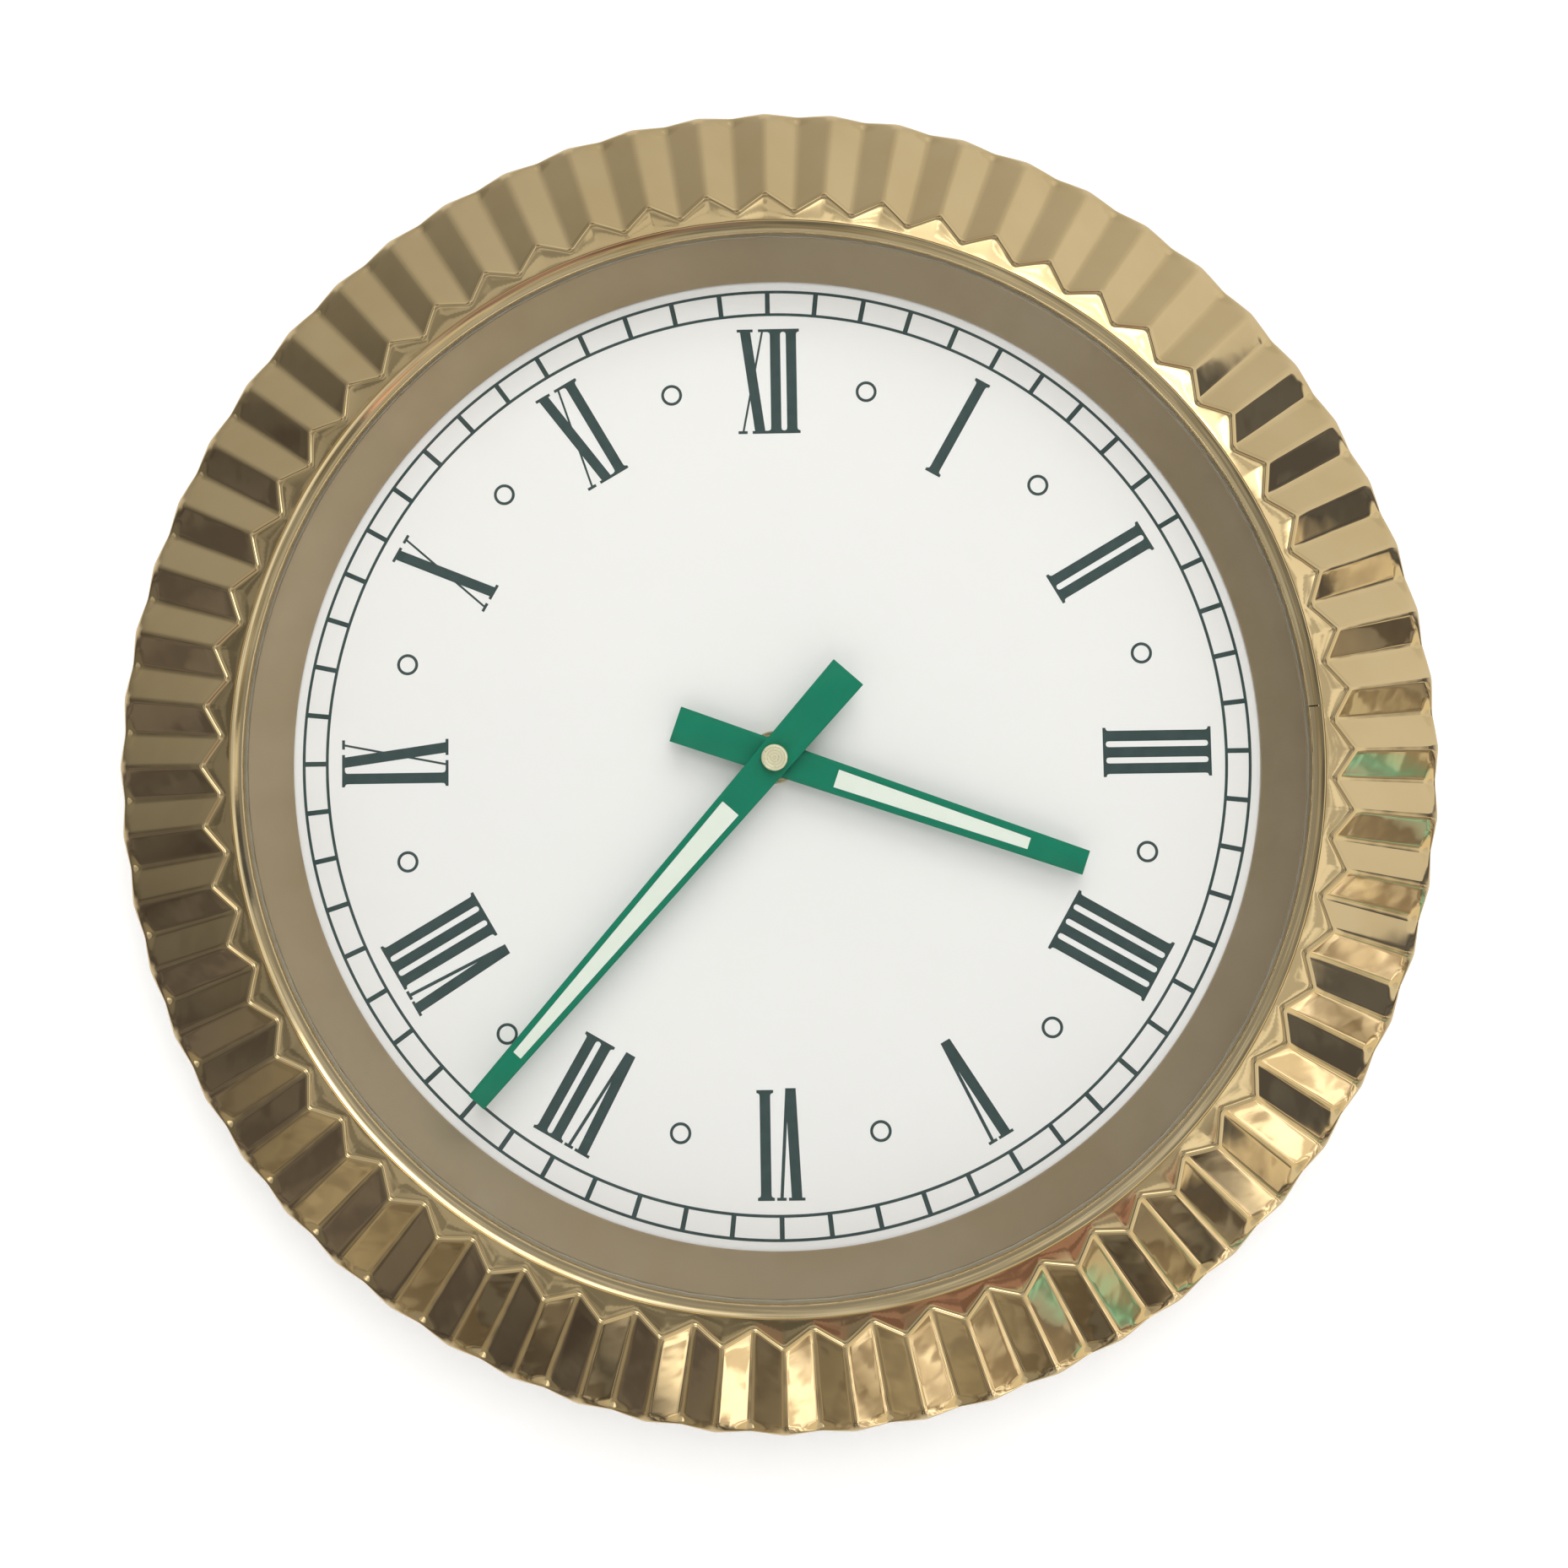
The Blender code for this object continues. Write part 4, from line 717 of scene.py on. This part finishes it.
finishes = {
    "dial": surface(
        "dial_lacquer", ((0.862, 0.842, 0.835), (0.885, 0.865, 0.855)), (9,), (0.42, 0.5), (120,),
        (700,), (0.05, 0.02), Specular_IOR_Level=0.35),
    "lens": clear_lens(),
    "hour_hand": green, "minute_hand": green, "hour_hand_inlay": cream, "minute_hand_inlay": cream,
    "hour_hand_collet": brass, "minute_hand_bush": brass, "cap_nut": cap_brass_painted_sheen, "hex_nut": brass,
    "post_washer": brass, "threaded_post": brass, "minute_arbor": brass,
    "rear_case": black, "movement_base": grey, "movement_cover": grey, "coil_bobbin": black,
    "chip": black, "hanger_plate": zinc, "hanger_screw_1": zinc, "hanger_screw_2": zinc,
    "quartz_crystal": zinc, "contact_positive": zinc, "contact_negative": zinc, "stator": zinc,
    "rotor": zinc, "lens_gasket": beige, "rubber_gasket": soft, "coil_winding": wound_copper(),
    "circuit_board": board, "battery": wrap,
}
for wheel in ("centre", "third", "second", "intermediate", "minute", "hour"):
    finishes[wheel + "_wheel"] = ivory
finishes["setting_knob"] = ivory
for number in range(1, 7):
    finishes[f"case_screw_{number}"] = zinc
# Nodes shown with their edges eased, and by how much
eased = {
    "hour_hand": 0.15, "minute_hand": 0.15, "cap_nut": 0.35, "hanger_plate": 0.2, "movement_base": 0.5,
    "setting_knob": 0.15, "rear_case": 0.4,
}
for node, finish in finishes.items():
    if node in eased:
        dress(softened(node, eased[node]), finish)
    else:
        dress_node(node, finish)


# ---------------------------------------------------------------- stage, light and camera

def make_stage():
    """A pale wall and floor, metres, seen from the room's side only."""
    wall_y, floor_z, top_z, side, near = 0.0015, -0.95, 2.2, 3.0, -3.0
    corners = [
        (-side, near, floor_z), (side, near, floor_z), (side, wall_y, floor_z),
        (-side, wall_y, floor_z), (side, wall_y, top_z), (-side, wall_y, top_z),
    ]
    shape = bmesh.new()
    v = [shape.verts.new(c) for c in corners]
    shape.faces.new((v[0], v[1], v[2], v[3]))
    shape.faces.new((v[3], v[2], v[4], v[5]))
    drop = bpy.data.objects.new("backdrop", mesh_from(shape, "backdrop"))
    scene.collection.objects.link(drop)
    white = (1.0, 1.0, 1.0, 1.0)
    n = Nodes("pale_backdrop").set(
        Roughness=0.9, Specular_IOR_Level=0.1, Base_Color=(0.9, 0.9, 0.9, 1.0), Emission_Color=white,
        Emission_Strength=0.25)
    side_of = n.add("ShaderNodeNewGeometry")
    n.show_mix(side_of.outputs["Backfacing"], n.shader, n.add("ShaderNodeBsdfTransparent"))
    dress(drop, n.material)
    drop.visible_glossy = False


def area_light(name, place, width, height, power, colour):
    """A softbox that faces the clock and isn't mirrored in it; metres and watts."""
    data = bpy.data.lights.new(name, "AREA")
    data.shape = "RECTANGLE"
    data.size, data.size_y = width, height
    data.energy = power
    data.color = colour
    made = bpy.data.objects.new(name, data)
    scene.collection.objects.link(made)
    made.location = place
    made.rotation_euler = (CENTRE - Vector(place)).to_track_quat("-Z", "Y").to_euler()
    made.visible_glossy = False


def make_world():
    """The room that the metal mirrors: dark to the left, pale above, broken light low on the right."""
    world = bpy.data.worlds.new("soft_room")
    scene.world = world
    world.use_nodes = True
    tree = world.node_tree
    background = next(n for n in tree.nodes if n.type == "BACKGROUND")
    coord = tree.nodes.new("ShaderNodeTexCoord")
    split = tree.nodes.new("ShaderNodeSeparateXYZ")
    tree.links.new(coord.outputs["Generated"], split.inputs["Vector"])
    right, back, up = split.outputs["X"], split.outputs["Y"], split.outputs["Z"]

    def calc(kind, first, second=None):
        node = tree.nodes.new("ShaderNodeMath")
        node.operation = kind
        for socket, value in zip(node.inputs, (first, second)):
            if isinstance(value, (int, float)):
                socket.default_value = value
            elif value is not None:
                tree.links.new(value, socket)
        return node.outputs[0]

    def spread(socket, low, high):
        node = tree.nodes.new("ShaderNodeMapRange")
        node.interpolation_type = "SMOOTHSTEP"
        node.inputs["From Min"].default_value = low
        node.inputs["From Max"].default_value = high
        tree.links.new(socket, node.inputs["Value"])
        return node.outputs["Result"]

    def mix(share, first, second, blend="MIX"):
        """Mixes or multiplies two colours, by a socket or a plain number."""
        node = tree.nodes.new("ShaderNodeMix")
        node.data_type = "RGBA"
        node.blend_type = blend
        if isinstance(share, float):
            node.inputs["Factor"].default_value = share
        else:
            tree.links.new(share, node.inputs["Factor"])
        sockets = [x for x in node.inputs if x.type == "RGBA"]
        for socket, value in zip(sockets, (first, second)):
            if isinstance(value, tuple):
                socket.default_value = (*value, 1.0)
            else:
                tree.links.new(value, socket)
        return next(x for x in node.outputs if x.type == "RGBA")

    def spots(scale, detail, low, high):
        """A noise over the directions, drawn out to two levels."""
        node = tree.nodes.new("ShaderNodeTexNoise")
        node.inputs["Scale"].default_value = scale
        node.inputs["Detail"].default_value = detail
        tree.links.new(coord.outputs["Generated"], node.inputs["Vector"])
        return spread(node.outputs["Fac"], low, high)

    # A direction's share of a full turn, clockwise from six o'clock, with edges that wander a little
    turn = calc("ADD", calc("DIVIDE", calc("ARCTAN2", right, up), 2 * math.pi), 0.5)
    wander = calc("MULTIPLY", calc("SUBTRACT", spots(3.5, 2.0, 0.3, 0.7), 0.5), 0.012)
    heading = calc("ADD", turn, wander)

    def compass(stops):
        """Light by direction: degrees clockwise from six o'clock, brightness and tint."""
        node = tree.nodes.new("ShaderNodeValToRGB")
        tree.links.new(heading, node.inputs["Fac"])
        bands = node.color_ramp
        while len(bands.elements) > 1:
            bands.elements.remove(bands.elements[-1])
        for n, (degrees, light, tint) in enumerate(stops):
            stop = bands.elements[0] if n == 0 else bands.elements.new(degrees / 360)
            stop.position = degrees / 360
            stop.color = (*[light * t for t in tint], 1.0)
        return node.outputs["Color"]

    plain, warm, cool = (1.0, 1.0, 1.0), (1.0, 0.93, 0.8), (0.93, 0.97, 1.15)
    leaf, red, dusk = (0.42, 1.0, 0.95), (1.5, 0.95, 0.9), (1.02, 0.97, 1.05)
    # Seen by the flutes, nearly in the wall's plane
    low_ring = compass([
        (0, 0.26, warm), (12, 0.36, warm), (20, 0.38, warm), (28, 0.22, warm), (38, 0.15, dusk),
        (52, 0.075, dusk), (70, 0.16, dusk), (94, 0.09, dusk), (116, 0.24, plain), (130, 0.34, plain),
        (155, 0.42, plain), (180, 0.50, plain), (210, 0.63, plain), (240, 0.73, plain), (260, 0.72, plain),
        (262, 0.13, cool), (278, 0.13, cool), (280, 0.7, warm), (284, 0.6, warm), (287, 0.15, cool),
        (298, 0.5, warm), (302, 0.62, leaf), (306, 0.35, plain), (312, 0.8, warm), (317, 1.5, plain),
        (322, 0.55, warm), (326, 1.45, plain), (339, 1.4, plain), (342, 0.45, plain), (346, 0.1, plain),
        (351, 0.45, plain), (355, 0.16, plain),
    ])
    # Seen by the creases between them
    ledge = compass([
        (0, 0.32, plain), (25, 0.36, warm), (60, 0.18, plain), (90, 0.15, plain), (120, 0.24, plain),
        (150, 0.38, plain), (180, 0.50, plain), (210, 0.58, plain), (240, 0.68, plain), (270, 0.80, plain),
        (300, 0.85, warm), (330, 0.80, warm), (359, 0.35, plain),
    ])
    # Seen by the crests and by the chapter ring
    shelf = compass([
        (0, 0.55, plain), (20, 0.6, plain), (27, 1.5, plain), (42, 1.2, plain), (56, 0.6, plain),
        (75, 0.4, plain), (90, 0.45, plain), (120, 0.3, plain), (150, 0.42, plain), (180, 0.55, plain),
        (210, 0.7, plain), (240, 0.75, plain), (270, 0.7, plain), (300, 0.65, plain), (330, 0.6, plain),
        (359, 0.55, plain),
    ])
    # Seen by the inner cone, across the clock
    cone = compass([
        (0, 0.65, plain), (8, 0.95, plain), (16, 1.6, plain), (30, 2.3, plain), (45, 2.7, plain),
        (60, 2.7, plain), (65, 0.85, plain), (90, 0.75, plain), (125, 0.82, plain), (137, 0.5, plain),
        (146, 0.22, red), (165, 0.2, red), (180, 0.17, plain), (205, 0.38, plain), (225, 0.33, plain),
        (245, 0.2, plain), (275, 0.17, plain), (305, 0.27, plain), (330, 0.40, plain), (359, 0.58, plain),
    ])
    # Seen by the flat of the trim ring
    high_ring = compass([
        (0, 0.40, plain), (30, 0.48, plain), (60, 0.54, plain), (76, 0.45, plain), (77, 0.10, cool),
        (88, 0.13, cool), (89, 0.75, warm), (94, 0.70, warm), (95, 0.22, warm), (103, 0.42, warm),
        (106, 0.30, warm), (118, 0.45, plain), (120, 0.20, warm), (129, 0.22, plain), (130, 0.60, red),
        (137, 0.45, warm), (138, 0.62, warm), (150, 0.50, warm), (165, 0.42, warm), (173, 0.24, plain),
        (190, 0.30, warm), (210, 0.52, plain), (240, 0.30, plain), (270, 0.30, warm), (300, 0.45, plain),
        (330, 0.57, plain), (359, 0.40, plain),
    ])

    broken = mix(spots(13.0, 1.5, 0.44, 0.56), (0.62, 0.58, 0.54), (1.15, 1.15, 1.15))
    dim = mix(spots(9.0, 2.0, 0.40, 0.62), (0.78, 0.76, 0.78), (1.12, 1.12, 1.12))
    patches = mix(spots(30.0, 1.0, 0.44, 0.6), (0.8, 0.8, 0.8), (1.2, 1.2, 1.2))
    dents = mix(spots(14.0, 1.0, 0.42, 0.58), (0.7, 0.7, 0.7), (1.2, 1.2, 1.2))
    low_right = calc("MULTIPLY", spread(right, -0.35, 0.1), spread(up, -0.05, -0.3))
    shown = mix(low_right, low_ring, broken, "MULTIPLY")
    shown = mix(spread(up, 0.35, -0.1), shown, dim, "MULTIPLY")
    # Each band of directions, by how far it points out of the wall: where it fades in, and its light
    ahead = calc("MULTIPLY", back, -1.0)
    zones = [
        (0.04, 0.2, ledge),
        (0.48, 0.58, shelf),
        (0.755, 0.775, ledge),
        (0.81, 0.86, mix(1.0, cone, dents, "MULTIPLY")),
        (0.935, 0.948, mix(1.0, high_ring, patches, "MULTIPLY")),
        (0.968, 0.976, mix(spread(up, 0.035, 0.05), (0.30, 0.30, 0.31), (0.48, 0.48, 0.47))),
    ]
    for start, full, light in zones:
        shown = mix(spread(ahead, start, full), shown, light)
    # What is behind the wall, the plain light for anything that isn't a mirror, and the white backdrop
    wall = mix(spread(ahead, -0.45, -0.2), (0.75, 0.74, 0.72), shown)
    path = tree.nodes.new("ShaderNodeLightPath")
    glow = mix(spread(up, -1.0, 1.0), (0.32, 0.316, 0.313), (0.50, 0.494, 0.488))
    lit = mix(path.outputs["Is Glossy Ray"], glow, wall)
    seen = mix(path.outputs["Is Camera Ray"], lit, (1.0, 1.0, 1.0))
    tree.links.new(seen, background.inputs["Color"])
    background.inputs["Strength"].default_value = 1.0


def make_camera():
    """Square on to the dial, turned a few degrees, with the shift that framed it."""
    data = bpy.data.cameras.new("camera")
    data.sensor_width = 36.0
    data.lens = 41.0
    data.shift_x = 0.0242
    data.shift_y = -0.0996
    made = bpy.data.objects.new("camera", data)
    scene.collection.objects.link(made)
    pitch, yaw, roll = math.radians(-4.073), math.radians(-1.172), math.radians(0.859)
    turn = Matrix.Rotation(pitch, 3, "X") @ Matrix.Rotation(yaw, 3, "Y") @ Matrix.Rotation(roll, 3, "Z")
    to_right, above, away = 2.1, 0.6, 464.0
    place = Matrix.Translation(Vector((to_right, above, DIAL_FACE + away)) * MM)
    made.matrix_world = STAND @ place @ turn.transposed().to_4x4()
    scene.camera = made


make_stage()
make_world()
make_camera()
area_light("key_softbox", (0.2, -1.55, 0.5), width=0.8, height=0.8, power=7, colour=(1.0, 0.99, 0.97))
area_light("rear_softbox", (0.4, 1.3, 0.6), width=1.0, height=1.0, power=25, colour=(1.0, 1.0, 1.0))
area_light("top_softbox", (0.3, -1.1, 1.4), width=1.8, height=0.9, power=18, colour=(1.0, 0.99, 0.97))
scene.view_settings.view_transform = "Standard"
scene.view_settings.look = "None"
